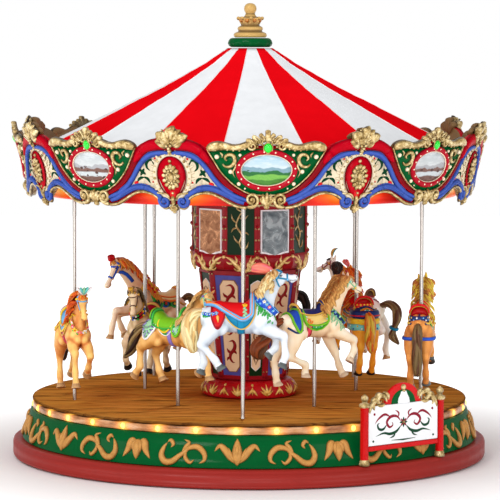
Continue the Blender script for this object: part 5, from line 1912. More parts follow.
    def eyes(self):
        for s in (-1, 1):
            c = self.face_at(1.7, 0.95, 0)
            loc, nor = self.hit(c, self.hl * s + self.hn * 0.18, 4.5)
            ball(self.b, loc - self.hl * s * 0.18, 0.72, self.mat("eye_white"), seg=12, rings=8)
            ball(self.b, loc + self.hl * s * 0.10 + self.hd * 0.08, 0.55, self.mat("eye"), seg=12, rings=8)
            lid = [loc + self.hl * s * 0.25 + self.hd * x + self.hn * (0.75 - 0.42 * x * x) for x in (-1.0, -0.6, -0.2, 0.2, 0.6, 1.0)]
            tube(self.b, lid, 0.26, sides=6, mat=self.mat("coat_" + self.name), wash=0.55)
            size = np.linalg.norm(self.h1 - self.h0)
            loc, nor = self.hit(self.face_at(size + 1.2, 0.2, 0), self.hl * s * 0.9 + self.hd * 0.6, 3.5)
            ball(self.b, loc, 0.1, self.mat("nostril"), axes=(self.hd * 0.3 + nor * 0.0, self.hn * 0.42, nor * 0.16), seg=8, rings=5)
            mouth = []
            for u in np.linspace(size - 1.4, size + 1.9, 7):
                loc, nor = self.hit(self.face_at(u, -1.25, 0), self.hl * s, 3.5)
                mouth.append(loc + nor * 0.02)
            tube(self.b, mouth, 0.16, sides=5, mat=self.mat("nostril"))

    def hooves(self, mat):
        for o, go, toe in self.feet:
            start = o - go * 0.55
            side = np.cross(go, toe)
            verts, washes = [], []
            rows = [(-0.2, 2.0, 0.0), (0.2, 2.4, 0.0), (0.5, 2.25, 0.0), (1.6, 2.7, 0.3), (2.55, 3.0, 0.6), (2.8, 2.85, 0.6)]
            seg = 16
            for along, r, push in rows:
                for k in range(seg):
                    a = math.tau * k / seg
                    flat = 0.88 if math.cos(a) < 0 else 1.0
                    verts.append(start + go * along + toe * (push + r * math.cos(a) * flat) + side * r * 0.92 * math.sin(a))
                    washes.append(0.5 if along in (0.5, 2.8) else 0.0)
            faces = grid_faces(len(rows), seg, wrap_c=True)
            n = len(verts)
            verts += [start + go * -0.2, start + go * 2.45 + toe * 0.4]
            washes += [0.3, 0.8]
            faces += [(n, (k + 1) % seg, k) for k in range(seg)]
            q = (len(rows) - 1) * seg
            faces += [(n + 1, q + k, q + (k + 1) % seg) for k in range(seg)]
            self.b.add(verts, faces, self.mat(mat), True, washes)

    def flower(self, p, n, petal, heart, r=0.55):
        n = unit(n)
        a = unit(np.cross(n, (0.3, 1.0, 0.2)))
        c = np.cross(n, a)
        for k in range(5):
            g = math.tau * k / 5
            q = a * math.cos(g) + c * math.sin(g)
            ball(self.b, np.array(p) + q * r * 0.85 + n * 0.1, 1, self.mat(petal), axes=(q * r * 0.72, np.cross(n, q) * r * 0.6, n * 0.34), seg=7, rings=4, wash_low=0.5)
        ball(self.b, np.array(p) + n * 0.32, r * 0.42, self.mat(heart), seg=7, rings=5)

    def leaflet(self, p, n, go, mat, length=1.6, width=0.5):
        n, go = unit(n), unit(go)
        pts = [np.array(p) + go * length * t + n * (0.15 + 0.35 * math.sin(math.pi * t)) for t in np.linspace(0, 1, 6)]
        tube(self.b, pts, width * np.array([0.3, 0.8, 1.0, 0.9, 0.55, 0.1]), 0.22, sides=6, mat=self.mat(mat), normals=[n] * 6, groove=0.12)

    def plume(self, mats, base_mat="gold_h", lean_back=0.6, length=7.0, count=4, spread=0.35, width=1.3, curl=0.5, at_uv=(-1.4, 3.0)):
        base = self.face_at(at_uv[0], at_uv[1], 0)
        up = unit(self.hn - self.hd * 0.35)
        if up[2] < 0.4:
            up = unit(up + np.array((0, 0, 0.8)))
        ball(self.b, base + up * 0.3, 1.0, self.mat(base_mat), seg=10, rings=7, wash_low=0.5)
        tube(self.b, [base + up * t for t in (0.4, 1.0, 1.6)], [0.5, 0.62, 0.8], sides=8, mat=self.mat(base_mat))
        backdir = unit(-self.hd * 1.0 + self.hn * 0.1)
        if backdir[0] > 0.2:
            backdir = unit(np.array((-1.0, 0, 0.1)))
        for k in range(count):
            f = (k - (count - 1) / 2) / max(1, (count - 1) / 2) if count > 1 else 0.0
            pts = []
            for t in np.linspace(0, 1, 11):
                bend = lean_back * t + curl * t * t
                if lean_back >= 1.3:
                    p = base + up * (0.9 + 1.5 * math.sin(math.pi * min(1.0, t * 0.9))) + unit(np.array((-1.0, 0, 0.05 - 0.1 * f))) * length * t + np.array((0, 1.0, 0)) * f * spread * length * t
                    pts.append(p)
                    continue
                p = base + up * (1.3 + length * t * math.cos(bend * 1.2)) + backdir * length * math.sin(bend * 1.1) * t + np.array((0, 1.0, 0)) * f * spread * length * (t ** 1.1)
                pts.append(p)
            w = width * np.array([0.3, 0.6, 0.85, 1.0, 1.08, 1.1, 1.05, 0.95, 0.75, 0.5, 0.15])
            nr = [unit(np.array((0, 1.0, 0)) * (0.8 if f >= 0 else -0.8) + up * 0.3 + backdir * -0.2)] * 11
            tube(self.b, pts, w, np.maximum(w * 0.5, 0.12), sides=10, mat=self.mat(mats[k % len(mats)]), normals=nr, groove=0.13, wash_ends=0.2)

    # ---- tack
    def patch(self, xs, reach_of, lift, mat, n=27, thick=0.5, arch=None):
        """A cloth over the back: xs along it, reach_of(x) the angle its two sides hang to, lift(x, u) its height."""
        xs = list(xs)
        rad = np.zeros((len(xs), n))
        axis, dirs = [], []
        for i, x in enumerate(xs):
            m = reach_of(x)
            lo, hi = (-m, m) if isinstance(m, (int, float)) else (-m[0], m[1])
            row = []
            for j in range(n):
                phi = lo + (hi - lo) * j / (n - 1)
                loc, d = self.on(x, phi)
                p = np.array(leaned((x, 0, -8.8, 0), self.lean)[:3])
                rad[i][j] = float(np.dot(loc - p, d))
                row.append(d)
            axis.append(p)
            dirs.append(row)
        soft = rad.copy()
        for _ in range(3):
            q = soft.copy()
            q[1:-1] = soft[1:-1] * 0.5 + (soft[:-2] + soft[2:]) * 0.25
            q[:, 1:-1] = q[:, 1:-1] * 0.5 + (q[:, :-2] + q[:, 2:]) * 0.25
            soft = q
        soft = np.maximum(soft, rad - 0.1)
        top, low, washes = [], [], []
        for i, x in enumerate(xs):
            for j in range(n):
                u = 2 * j / (n - 1) - 1
                hgt = lift(x, u) if callable(lift) else lift
                top.append(axis[i] + dirs[i][j] * (soft[i][j] + hgt))
                low.append(axis[i] + dirs[i][j] * (soft[i][j] - thick))
                washes.append(0.35 * max(abs(u), abs(2 * i / (len(xs) - 1) - 1)) ** 10)
        m_ = len(xs)
        nt = m_ * n
        faces = grid_faces(m_, n)
        faces += [tuple(k + nt for k in f[::-1]) for f in grid_faces(m_, n)]
        for i in range(m_ - 1):
            a, c = i * n, (i + 1) * n
            faces += [(a, c, c + nt, a + nt), (a + n - 1, a + n - 1 + nt, c + n - 1 + nt, c + n - 1)]
        for k in range(n - 1):
            faces += [(k, k + nt, k + 1 + nt, k + 1), ((m_ - 1) * n + k, (m_ - 1) * n + k + 1, (m_ - 1) * n + k + 1 + nt, (m_ - 1) * n + k + nt)]
        self.b.add(top + low, faces, self.mat(mat), True, washes + [0.5] * nt)
        T = np.array(top).reshape(m_, n, 3)
        D = np.array(dirs)
        loop = [(T[i][0], D[i][0]) for i in range(m_)] + [(T[-1][j], D[-1][j]) for j in range(1, n)] + [(T[i][-1], D[i][-1]) for i in range(m_ - 2, -1, -1)] + [(T[0][j], D[0][j]) for j in range(n - 2, 0, -1)]
        return T, D, loop

    def trim(self, loop, mat, w=0.45, h=0.5, inset=0.0, centre=None):
        pts = np.array([p for p, _ in loop])
        nrm = np.array([d for _, d in loop])
        pts = pts * 0.5 + (np.roll(pts, 1, 0) + np.roll(pts, -1, 0)) * 0.25
        band(self.b, pts, nrm, w, h, self.mat(mat), closed=True)

    def pattern(self, T, D, mats, rows=(1,), step=2, r=0.42, petal=None):
        """Beads or small flowers a little inside the edge of a cloth."""
        m, n = T.shape[:2]
        for q in rows:
            ring = [(q, j) for j in range(q, n - q, step)] + [(i, n - 1 - q) for i in range(q, m - q, step)] + [(m - 1 - q, j) for j in range(n - 1 - q, q, -step)] + [(i, q) for i in range(m - 1 - q, q, -step)]
            for k, (i, j) in enumerate(ring):
                if petal and k % 2 == 0:
                    self.flower(T[i][j] + D[i][j] * 0.05, D[i][j], petal[0], petal[1], r * 1.1)
                else:
                    ball(self.b, T[i][j] + D[i][j] * 0.1, r, self.mat(mats[k % len(mats)]), seg=7, rings=5)

    def saddle(self, seat, skirt, cantle, pommel, x0=-8.5, x1=5.0, deep=66, high=3.2, front=2.6):
        """The seat: low in the middle, rising to a rolled cantle behind and a pommel in front."""
        def lift(x, u):
            t = (x - x0) / (x1 - x0)
            c = max(0.0, 1 - abs(u) ** 1.6 * 1.25)
            back = max(0.0, 1 - t / 0.34) ** 1.6
            fore = max(0.0, (t - 0.70) / 0.30) ** 1.5
            return 0.9 + c * (high * back + front * fore)

        def reach(x):
            t = (x - x0) / (x1 - x0)
            return deep * (0.62 + 0.38 * math.sin(math.pi * min(1.0, max(0.0, 0.12 + 0.8 * t))) ** 0.9)
        T, D, loop = self.patch(np.linspace(x0, x1, 17), reach, lift, seat, n=29)
        self.trim(loop, skirt, 0.5, 0.55)
        # rolled cantle and pommel
        for k, mats in ((0, cantle), (-1, pommel)):
            for q, m in enumerate(mats):
                row = [T[k][j] + D[k][j] * (0.35 + 0.1 * q) + (np.array((-1.0, 0, 0.25)) if k == 0 else np.array((1.0, 0, 0.25))) * (0.25 + 0.62 * q) for j in range(4, 25)]
                w = [0.42 + 0.32 * math.sin(math.pi * i / 20) for i in range(21)]
                tube(self.b, row, w, sides=8, mat=self.mat(m))
        return T, D

    def bridle(self, mat, knob="gold_h", rosette="gold_h", noseband=True, rein=False, w=0.36, brow=None):
        size = float(np.linalg.norm(self.h1 - self.h0))
        m = self.mat(mat)
        rings = []
        if brow:
            pts = [self.hit(self.face_at(u, 0.4, 0), self.hn, 6.0) for u in np.linspace(-1.8, 2.6, 7)]
            tube(self.b, [p + n * 0.15 for p, n in pts], [0.55, 0.8, 0.9, 0.9, 0.8, 0.65, 0.35], sides=8, mat=self.mat(brow))
        if noseband:
            p, n = self.face_hoop(size * 0.66)
            band(self.b, p, n, w, 0.3, m)
            rings.append(p)
        p, n = self.face_hoop(-0.9, tilt=-0.35)
        band(self.b, p, n, w, 0.3, m)
        p2, n2 = self.face_hoop(-0.3, tilt=0.75)
        half = len(p2)
        sel = [k for k in range(half) if math.cos(math.tau * k / half) > -0.25]
        sel = sorted(sel, key=lambda k: (k + half // 2) % half)
        band(self.b, p2[sel], n2[sel], w, 0.3, m, closed=False)
        for s in (-1, 1):
            pts, nr = [], []
            for t in np.linspace(0, 1, 9):
                u = -0.6 + (size * 0.66 + 0.6) * t
                loc, nor = self.hit(self.face_at(u, -0.2 + 0.9 * (1 - t) - 0.5 * t, 0), self.hl * s, 4.8)
                pts.append(loc + nor * 0.15)
                nr.append(self.hl * s)
            band(self.b, pts, nr, w, 0.3, m, closed=False)
            ball(self.b, pts[0] + np.array(nr[0]) * 0.35, 0.75, self.mat(rosette), seg=9, rings=6)
            ball(self.b, pts[-1] + np.array(nr[-1]) * 0.35, 0.62, self.mat(knob), seg=9, rings=6)
            if rein:
                a = pts[-1] + np.array(nr[-1]) * 0.5
                q, d, g = self.crest(0.80, s * 50)
                line = [a]
                for t in (0.3, 0.6, 1.0):
                    mid = a + (q - a) * t
                    co, no, idx, dist = self.tree.find_nearest(Vector(mid), 30.0)
                    co, no = np.array(co), np.array(no)
                    if np.dot(mid - co, no) < 0.3 or t == 1.0:
                        mid = co + no * 0.35
                    line.append(mid)
                line = smooth_line(line, 6)
                out = []
                for mid in line:
                    co, no, idx, dist = self.tree.find_nearest(Vector(mid), 30.0)
                    co, no = np.array(co), np.array(no)
                    if np.dot(mid - co, no) < 0.3:
                        mid = co + no * 0.3
                    out.append(mid)
                tube(self.b, out, 0.3, 0.18, sides=6, mat=m)

    def collar(self, top, low, mat, w=1.6, edges=None, flowers=(), beads=(), n=44, lift=0.3, hang=None, count=22, r=0.5):
        """A breast collar round the chest, with its edges, flowers or beads and leaves hanging from it."""
        p, d = self.hoop(top, low, n=n, lift=lift)
        band(self.b, p, d, w, 0.45, self.mat(mat))
        up = unit(np.array((top[0] - low[0], 0, top[1] - low[1])))
        axis = unit(np.cross(up, (0, 1.0, 0)))
        if edges:
            for s in (-1, 1):
                band(self.b, p + axis * s * w + d * 0.1, d, 0.24, 0.5, self.mat(edges))
        for k in range(count):
            i = int(k * n / count) % n
            off = axis * (w * 0.45 * (1 if k % 2 else -1)) if w > 1.0 else 0
            q = p[i] + d[i] * 0.5 + off
            if flowers and k % 2 == 0:
                self.flower(q, d[i], flowers[(k // 2) % len(flowers)][0], flowers[(k // 2) % len(flowers)][1], r * 1.35)
            elif beads:
                ball(self.b, q, r * 1.1, self.mat(beads[(k // 2) % len(beads)]), seg=8, rings=5)
        if hang:
            fwd = axis if axis[0] > 0 else -axis
            for k in range(n):
                if abs(math.sin(math.tau * k / n)) < 0.25:
                    continue
                base = p[k] - fwd * w * 0.8 + d[k] * 0.2
                rows = 2 + int(2.2 * abs(math.sin(0.9 * k)) ** 0.7)
                for j in range(rows):
                    go = np.array((-0.45 + 0.7 * self.rng.random() - 0.25, 0, -1.0))
                    q = base + go * 1.05 * j + d[k] * 0.15
                    co, no, idx, dist = self.tree.find_nearest(Vector(q), 20.0)
                    q = np.array(co) + np.array(no) * 0.2
                    self.leaflet(q, no, go, hang, 1.5 + 0.8 * self.rng.random(), 0.46)

    def girth(self, x, mat, w=1.3, edge=None):
        p, d = self.hoop(leaned((x, 0, -1.0, 0), self.lean)[::2], leaned((x, 0, -16.5, 0), self.lean)[::2], n=40)
        band(self.b, p, d, w, 0.4, self.mat(mat))
        if edge:
            for s in (-1, 1):
                band(self.b, p + np.array((s * w, 0, 0)) + d * 0.05, d, 0.22, 0.45, self.mat(edge))

    def crupper(self, mat, x0=-8.0, w=0.7, flowers=(), hang=None, phi=62, beads=()):
        """Straps over the rump: along the spine to the tail, and round behind from the saddle."""
        spine = [self.on(x, 0, 0.3) for x in np.linspace(x0, -19.5, 9)]
        band(self.b, [p for p, _ in spine], [d for _, d in spine], w * 0.8, 0.35, self.mat(mat), closed=False)
        for s in (-1, 1):
            pts = []
            for t in np.linspace(0, 1, 16):
                x = x0 - 1.0 + (-20.4 - x0) * t
                a = s * (phi + 10 * math.sin(math.pi * t))
                pts.append(self.on(x, a, 0.3))
            band(self.b, [p for p, _ in pts], [d for _, d in pts], w, 0.38, self.mat(mat), closed=False)
            for k in range(1, 15):
                p, d = pts[k]
                if flowers and k % 2 == 0:
                    f = flowers[(k // 2) % len(flowers)]
                    self.flower(p + d * 0.4, d, f[0], f[1], 0.75)
                elif beads:
                    ball(self.b, p + d * 0.45, 0.55, self.mat(beads[k % len(beads)]), seg=7, rings=5)
                if hang:
                    q = p - d * 0.1 + np.array((0, 0, -w))
                    self.leaflet(q, d, (self.rng.uniform(-0.4, 0.4), 0, -1.0), hang, 1.6, 0.45)

    def drape(self, z, half, mat, thick=0.6, lift=0.3, reach=105.0, x=-10.0, beads=(), r=0.5, n=37, limit=8.4):
        """A band round the haunches at one height, carried across from thigh to thigh."""
        c = np.array((x, 0.0, z))
        turn = np.radians(np.linspace(-reach, reach, n))
        dirs = [np.array((-math.cos(a), math.sin(a), 0.0)) for a in turn]
        far = []
        for d in dirs:
            loc, nor = self.hit(c, d, 16.0)
            far.append(float(np.linalg.norm(np.array(loc) - c)))
        far = np.array(far)
        wide = np.array([max(far[max(0, i - 3):i + 4]) for i in range(n)])
        wide = np.convolve(np.pad(wide, 2, mode="edge"), np.ones(5) / 5, mode="valid")
        far = np.maximum(far, wide - 0.6)
        far = np.minimum(far, limit / np.maximum(0.2, np.abs(np.sin(turn))))
        pts = [c + d * (f + lift) for d, f in zip(dirs, far)]
        band(self.b, pts, dirs, half, thick, self.mat(mat), closed=False)
        for i in range(1, n - 1, 2):
            if beads:
                ball(self.b, pts[i] + dirs[i] * thick * 0.7 + np.array((0, 0, half * 0.4 * (1 if (i // 2) % 2 else -1))), r, self.mat(beads[(i // 2) % len(beads)]), seg=8, rings=5)
        return pts, dirs

    def disc(self, x, phi, r, mats, turn=0.0):
        """A round boss of rings on the side of the cloth."""
        for s in (-1, 1):
            p, d = self.on(x, s * phi, 0.9)
            a = unit(np.cross(d, (0, 0, 1.0)))
            c = np.cross(d, a)
            for k, m in enumerate(mats):
                rr = r * (1 - k / len(mats))
                ball(self.b, p + d * 0.25 * k, 1, self.mat(m), axes=(a * rr, c * rr, d * (0.45 + 0.1 * k)), seg=18, rings=7)

    def place(self):
        k = self.h["size"]
        t = math.radians(self.h["at"] + self.h.get("turn", 0.0))
        c, s = math.cos(t), math.sin(t)
        x0, y0, _ = at(self.h["ring"], self.h["at"], 0)
        v = np.array(self.b.v, float) * k
        out = np.stack([x0 + v[:, 0] * c - v[:, 1] * s, y0 + v[:, 0] * s + v[:, 1] * c, self.h["seat"] + v[:, 2]], 1)
        self.b.v = [tuple(p) for p in out]
        obj = self.b.object(self.name + "_figure", self.mats)
        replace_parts(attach(obj, self.name.replace("horse", "jumper")), self.name)
        return obj


def coat_paint(name, light, base, dark, rough=0.34):
    """Airbrushed coat: the wash value runs from -0.6 on ridges to 1 in hollows."""
    m = Mat(name, rough, 0.0, 0.25)
    n1 = m.noise(95.0, 3.0, 0.55)
    n2 = m.noise(420.0, 3.0, 0.6, stretch=(1.0, 1.0, 0.5))
    f = m.math("ADD", m.attribute("wash"), m.math("MULTIPLY", m.math("SUBTRACT", n1, 0.5), 0.85))
    f = m.math("ADD", f, m.math("MULTIPLY", m.math("SUBTRACT", n2, 0.5), 0.35))
    geo, split = m.node("ShaderNodeNewGeometry"), m.node("ShaderNodeSeparateXYZ")
    m.link(geo.outputs["Normal"], split.inputs[0])
    f = m.math("SUBTRACT", f, m.math("MULTIPLY", split.outputs[2], 0.34))
    m.color(m.ramp(m.remap(f, -0.6, 1.0), [(0.0, light), (0.40, base), (0.98, dark)]))
    m.bump(n2, 0.12, 0.0002)
    return m.mat


def enamel(name, rgb, dark=None, rough=0.3, coat=0.3, mottle=0.12, amount=0.85):
    base = lin(*rgb)
    return paint(name, base, rough, wash=lin(*dark) if dark else scaled(base, 0.28), mottle=mottle, scale=320.0, bump=0.0, coat=coat, amount=amount, vary=0)


COATS = {
    "horse_white": ((230, 236, 242), (200, 210, 220), (108, 122, 148)),
    "horse_palomino": ((232, 154, 76), (188, 114, 56), (98, 52, 22)),
    "horse_ivory": ((255, 253, 244), (252, 242, 220), (176, 136, 92)),
    "horse_bay": ((255, 238, 206), (236, 192, 148), (114, 68, 38)),
    "horse_chestnut": ((246, 200, 116), (214, 132, 66), (128, 52, 22)),
    "horse_tan": ((250, 206, 130), (214, 152, 78), (126, 68, 24)),
    "horse_cream": ((255, 247, 222), (252, 224, 182), (176, 114, 66)),
    "horse_orange": ((255, 190, 60), (240, 126, 18), (138, 50, 6)),
    "horse_black": ((92, 76, 66), (34, 26, 24), (8, 6, 6)),
    "horse_brown": ((246, 224, 182), (198, 168, 120), (72, 50, 30)),
}

HORSE_PAINT = {}
for _n, _c in COATS.items():
    HORSE_PAINT["coat_" + _n] = coat_paint("coat_" + _n, *[lin(*x) for x in _c])
for _n, _rgb, _dark in (
        ("red_h", (214, 22, 28), (110, 6, 12)), ("crimson", (158, 20, 40), (80, 6, 20)), ("teal", (16, 132, 176), (6, 60, 90)), ("sky", (112, 182, 232), (40, 90, 150)),
        ("royal", (36, 84, 196), (14, 30, 100)), ("navy", (28, 50, 110), (10, 18, 50)), ("gold_h", (228, 184, 84), (120, 74, 20)), ("yellow_h", (250, 208, 50), (170, 110, 16)),
        ("leaf_h", (52, 178, 66), (14, 84, 30)), ("lime", (120, 200, 40), (40, 110, 16)), ("mint", (166, 226, 176), (70, 140, 96)), ("bottle", (16, 84, 50), (4, 34, 20)),
        ("violet_h", (142, 122, 200), (70, 54, 130)), ("purple", (104, 44, 140), (46, 16, 70)), ("pink", (244, 120, 130), (170, 50, 70)), ("salmon", (250, 136, 116), (186, 62, 56)), ("rose", (232, 70, 96), (130, 20, 40)),
        ("white_h", (246, 246, 244), (170, 170, 180)), ("orange_h", (244, 128, 40), (160, 66, 12)), ("aqua", (120, 214, 206), (40, 120, 120)), ("cream_h", (250, 232, 186), (190, 150, 90)),
        ("hair_blond", (252, 228, 172), (176, 122, 58)), ("hair_blond_dark", (232, 194, 126), (134, 86, 34)), ("hair_fire", (252, 114, 34), (168, 44, 10)), ("hair_fire_light", (252, 170, 66), (160, 66, 14)), ("seat_cream", (255, 248, 172), (232, 180, 84)), ("seat_gold", (244, 214, 128), (176, 126, 50)),
        ("hair_ginger", (222, 146, 70), (112, 58, 20)), ("hair_ginger_light", (244, 188, 108), (140, 78, 28)), ("hair_olive", (128, 104, 66), (44, 32, 18)), ("hair_olive_light", (164, 138, 90), (60, 44, 24)),
        ("hair_dark", (58, 38, 30), (14, 8, 6)), ("hair_umber", (104, 68, 46), (30, 18, 10)), ("hair_yellow", (253, 216, 82), (146, 88, 20)), ("hair_black", (26, 20, 20), (4, 3, 3)),
        ("hair_chest", (150, 78, 44), (60, 24, 10)), ("hoof_grey", (98, 104, 104), (40, 44, 46)), ("hoof_tan", (206, 160, 108), (120, 80, 44)), ("hoof_pale", (238, 216, 186), (170, 130, 96)),
        ("hoof_black", (34, 30, 30), (8, 8, 8)), ("ear_inner", (214, 150, 130), (130, 70, 60)), ("eye_white", (236, 228, 214), (150, 120, 100))):
    HORSE_PAINT[_n] = enamel("tack_" + _n if "hair" not in _n and "hoof" not in _n else _n, _rgb, _dark, rough=0.42 if "hair" in _n else 0.3, coat=0.15 if "hair" in _n else 0.35, mottle=0.2 if "hair" in _n else 0.1, amount=1.0)
HORSE_PAINT["eye"] = enamel("eye_black", (12, 10, 12), rough=0.08, coat=1.0)
HORSE_PAINT["nostril"] = enamel("nostril_brown", (70, 34, 30), rough=0.5, coat=0.0)


def oval_reach(x0, x1, deep, least=0.45, skew=0.0):
    """How far a cloth hangs at x: rounded at both ends, deepest a little off the middle."""
    def f(x):
        t = (x - x0) / (x1 - x0)
        t = min(1.0, max(0.0, t))
        t = t ** (1.0 + skew)
        return deep * (least + (1 - least) * math.sin(math.pi * t) ** 0.75)
    return f


def scallop(x0, x1, deep, waves, amp, least=0.6):
    base = oval_reach(x0, x1, deep, least)
    return lambda x: base(x) * (1.0 + amp * abs(math.sin(math.pi * waves * (x - x0) / (x1 - x0))) - amp)


def horse_white():
    g = Horse("horse_white")
    g.ears(); g.eyes(); g.hooves("hoof_grey")
    g.mane(["hair_blond", "hair_blond", "hair_blond_dark"], n=14, length=7.0, width=1.3, t1=0.46, wave=0.7, fall=0.2, back=0.1, layers=3, bush=0.5, ang=24)
    g.forelock(["hair_blond"], 3, 2.4)
    g.tail(["hair_blond", "hair_blond_dark", "hair_blond"], n=14, spin=0.5, wide=1.15)
    g.plume(["salmon", "pink", "salmon"], lean_back=1.4, length=12.0, count=3, spread=0.07, width=2.3, curl=0.1)
    g.bridle("teal", knob="sky", rosette="sky", w=0.42, brow="teal")
    T, D, loop = g.patch(np.linspace(-9.8, 6.6, 20), oval_reach(-9.8, 6.6, 134, 0.5, 0.15), 0.35, "teal")
    g.trim(loop, "gold_h", 0.36, 0.45)

    def seat(x):
        t = min(1.0, max(0.0, (x + 19.6) / 18.5))
        return 88 * (0.09 + 0.9 * t ** 0.95) * (1.0 - 0.22 * max(0.0, (x - 1.5) / 3.5))

    def rise(x, u):
        c = max(0.0, 1 - abs(u) ** 1.6 * 1.2)
        return 1.25 + c * (0.7 * max(0.0, (-15.0 - x) / 4.6) + 1.7 * max(0.0, (x - 1.0) / 4.0) ** 1.4)
    T, D, loop = g.patch(np.linspace(-19.6, 5.0, 27), seat, rise, "red_h")
    g.trim(loop, "sky", 1.25, 0.85)
    g.trim(loop, "orange_h", 0.32, 1.35, inset=0.9)
    T, D, loop = g.patch(np.linspace(-16.6, -9.6, 12), oval_reach(-16.6, -9.6, 119, 0.66), 0.5, "red_h")
    g.trim(loop, "crimson", 0.45, 0.55)
    for s in (-1, 1):
        a = [g.on(-13.4 + 0.5 * t, s * (72 + 26 * t), 0.95) for t in np.linspace(0, 1, 7)]
        tube(g.b, [p for p, _ in a], 0.8 * np.array([0.2, 0.8, 1.0, 0.9, 0.7, 0.4, 0.1]), 0.35, sides=8, mat=g.mat("gold_h"), normals=[d for _, d in a])
        p, d = g.on(1.2, s * 30, 1.6)
        g.flower(p, d, "yellow_h", "orange_h", 1.0)
        for t in range(6):
            q, d = g.on(1.6 - 0.5 * (t % 2), s * (40 + 7 * t), 1.5)
            g.leaflet(q, d, (0.7 * (1 if t % 2 else -1), 0, -0.6), "mint", 2.0, 0.8)
    g.girth(-0.9, "teal", 2.0)
    g.collar((6.0, 5.0), (17.0, -7.0), "royal", w=2.6, edges="sky", flowers=(("white_h", "yellow_h"), ("sky", "white_h"), ("pink", "white_h"), ("sky", "yellow_h")), beads=("sky", "sky", "royal"), count=30, r=0.55, hang="leaf_h")
    g.crupper("sky", -12.0, 0.6, flowers=(("royal", "white_h"), ("sky", "yellow_h")), hang="leaf_h", phi=58)
    g.place()


def horse_tan():
    g = Horse("horse_tan")
    g.ears(); g.eyes(); g.hooves("hoof_tan")
    g.mane(["hair_blond_dark", "hair_ginger_light"], n=13, length=7.5, width=1.3, wave=0.6, t1=0.66, layers=3, ang=22, fall=0.2)
    g.forelock(["hair_blond_dark"], 5, 3.4)
    g.tail(["hair_olive", "hair_dark", "hair_olive_light"], n=10, spin=1.2)
    g.bridle("mint", rosette="violet_h", knob="lime")
    T, D, loop = g.patch(np.linspace(-22.6, -11.4, 13), oval_reach(-22.6, -11.4, 116, 0.6), 0.3, "mint")
    g.trim(loop, "white_h", 0.6, 0.55)
    g.pattern(T, D, ("leaf_h", "bottle"), rows=(1, 2, 3), step=2, r=0.42, petal=("violet_h", "white_h"))
    T, D, loop = g.patch(np.linspace(-9.6, 1.5, 16), oval_reach(-9.6, 1.5, 104, 0.6), 0.35, "leaf_h")
    g.trim(loop, "white_h", 0.32, 0.45)
    T, D, loop = g.patch(np.linspace(-10.0, 0.5, 15), oval_reach(-10.0, 0.5, 88, 0.6), 0.75, "lime")
    g.trim(loop, "yellow_h", 0.5, 0.55)
    g.saddle("lime", "leaf_h", ("leaf_h", "bottle", "lime"), ("lime", "leaf_h"), x0=-14.0, x1=4.6, deep=72, high=2.8, front=3.4)
    T, D, loop = g.patch(np.linspace(1.0, 7.0, 10), oval_reach(1.0, 7.0, 102, 0.7), 0.95, "mint")
    g.trim(loop, "lime", 0.7, 0.65)
    g.pattern(T, D, ("violet_h", "leaf_h"), rows=(2,), step=3, r=0.4, petal=("violet_h", "white_h"))
    g.girth(-1.5, "violet_h", 1.4)
    g.collar((7.0, 3.4), (16.0, -12.6), "mint", w=1.3, edges="lime", flowers=(("violet_h", "white_h"), ("white_h", "yellow_h")), beads=("leaf_h", "lime"), count=22)
    g.crupper("mint", -13.0, 0.5, beads=("violet_h", "lime"))
    g.place()


def horse_cream():
    g = Horse("horse_cream")
    g.ears(); g.eyes(); g.hooves("hoof_pale")
    g.mane(["hair_ginger_light", "hair_ginger", "hair_ginger_light"], n=15, length=9.4, width=1.9, wave=0.8, fall=0.12, t1=0.62, bush=0.6, layers=3, back=0.7)
    g.forelock(["hair_ginger", "hair_ginger_light"], 6, 4.4)
    g.tail(["hair_chest", "hair_umber"], n=10, spin=2.2, wide=1.1)
    g.bridle("mint", rosette="aqua", knob="yellow_h")
    g.plume(["crimson", "gold_h"], length=2.6, count=2, width=0.8)
    T, D, loop = g.patch(np.linspace(-18.8, -13.4, 12), oval_reach(-18.8, -13.4, 112, 0.62), 0.45, "royal")
    g.trim(loop, "lime", 0.75, 0.6)
    T, D, loop = g.patch(np.linspace(-11.5, 5.6, 20), scallop(-11.5, 5.6, 120, 5, 0.06), 0.35, "leaf_h")
    g.trim(loop, "lime", 0.42, 0.5)
    g.pattern(T, D, ("aqua", "white_h"), rows=(2,), step=2, r=0.5, petal=("aqua", "white_h"))
    T, D, loop = g.patch(np.linspace(-11.0, 5.0, 19), oval_reach(-11.0, 5.0, 94, 0.8), 0.8, "seat_gold")
    g.trim(loop, "lime", 0.62, 0.62)
    for s in (-1, 1):
        for cx, cp, rr, m in ((-8.2, 72, 2.0, "orange_h"), (2.6, 52, 1.6, "gold_h")):
            pts = []
            for k in range(22):
                t = k / 21
                a, r = 7.4 * t, rr * (1 - 0.8 * t)
                pts.append(g.on(cx + r * math.cos(a), s * (cp + r * 7.2 * math.sin(a)), 1.25))
            tube(g.b, [p for p, _ in pts], 0.4, 0.34, sides=6, mat=g.mat(m), normals=[d for _, d in pts])
    g.saddle("navy", "gold_h", ("hair_umber", "gold_h"), ("navy", "gold_h"), x0=-13.4, x1=3.6, deep=46, high=1.8, front=2.6)
    g.girth(-7.6, "rose", 1.5, "crimson")
    g.collar((1.4, 5.0), (18.4, -11.0), "navy", w=1.5, edges="lime", hang="mint", flowers=(("mint", "white_h"), ("sky", "yellow_h")), beads=("aqua", "lime"), count=24, r=0.5)
    g.crupper("navy", -13.0, 0.55, phi=104)
    g.place()


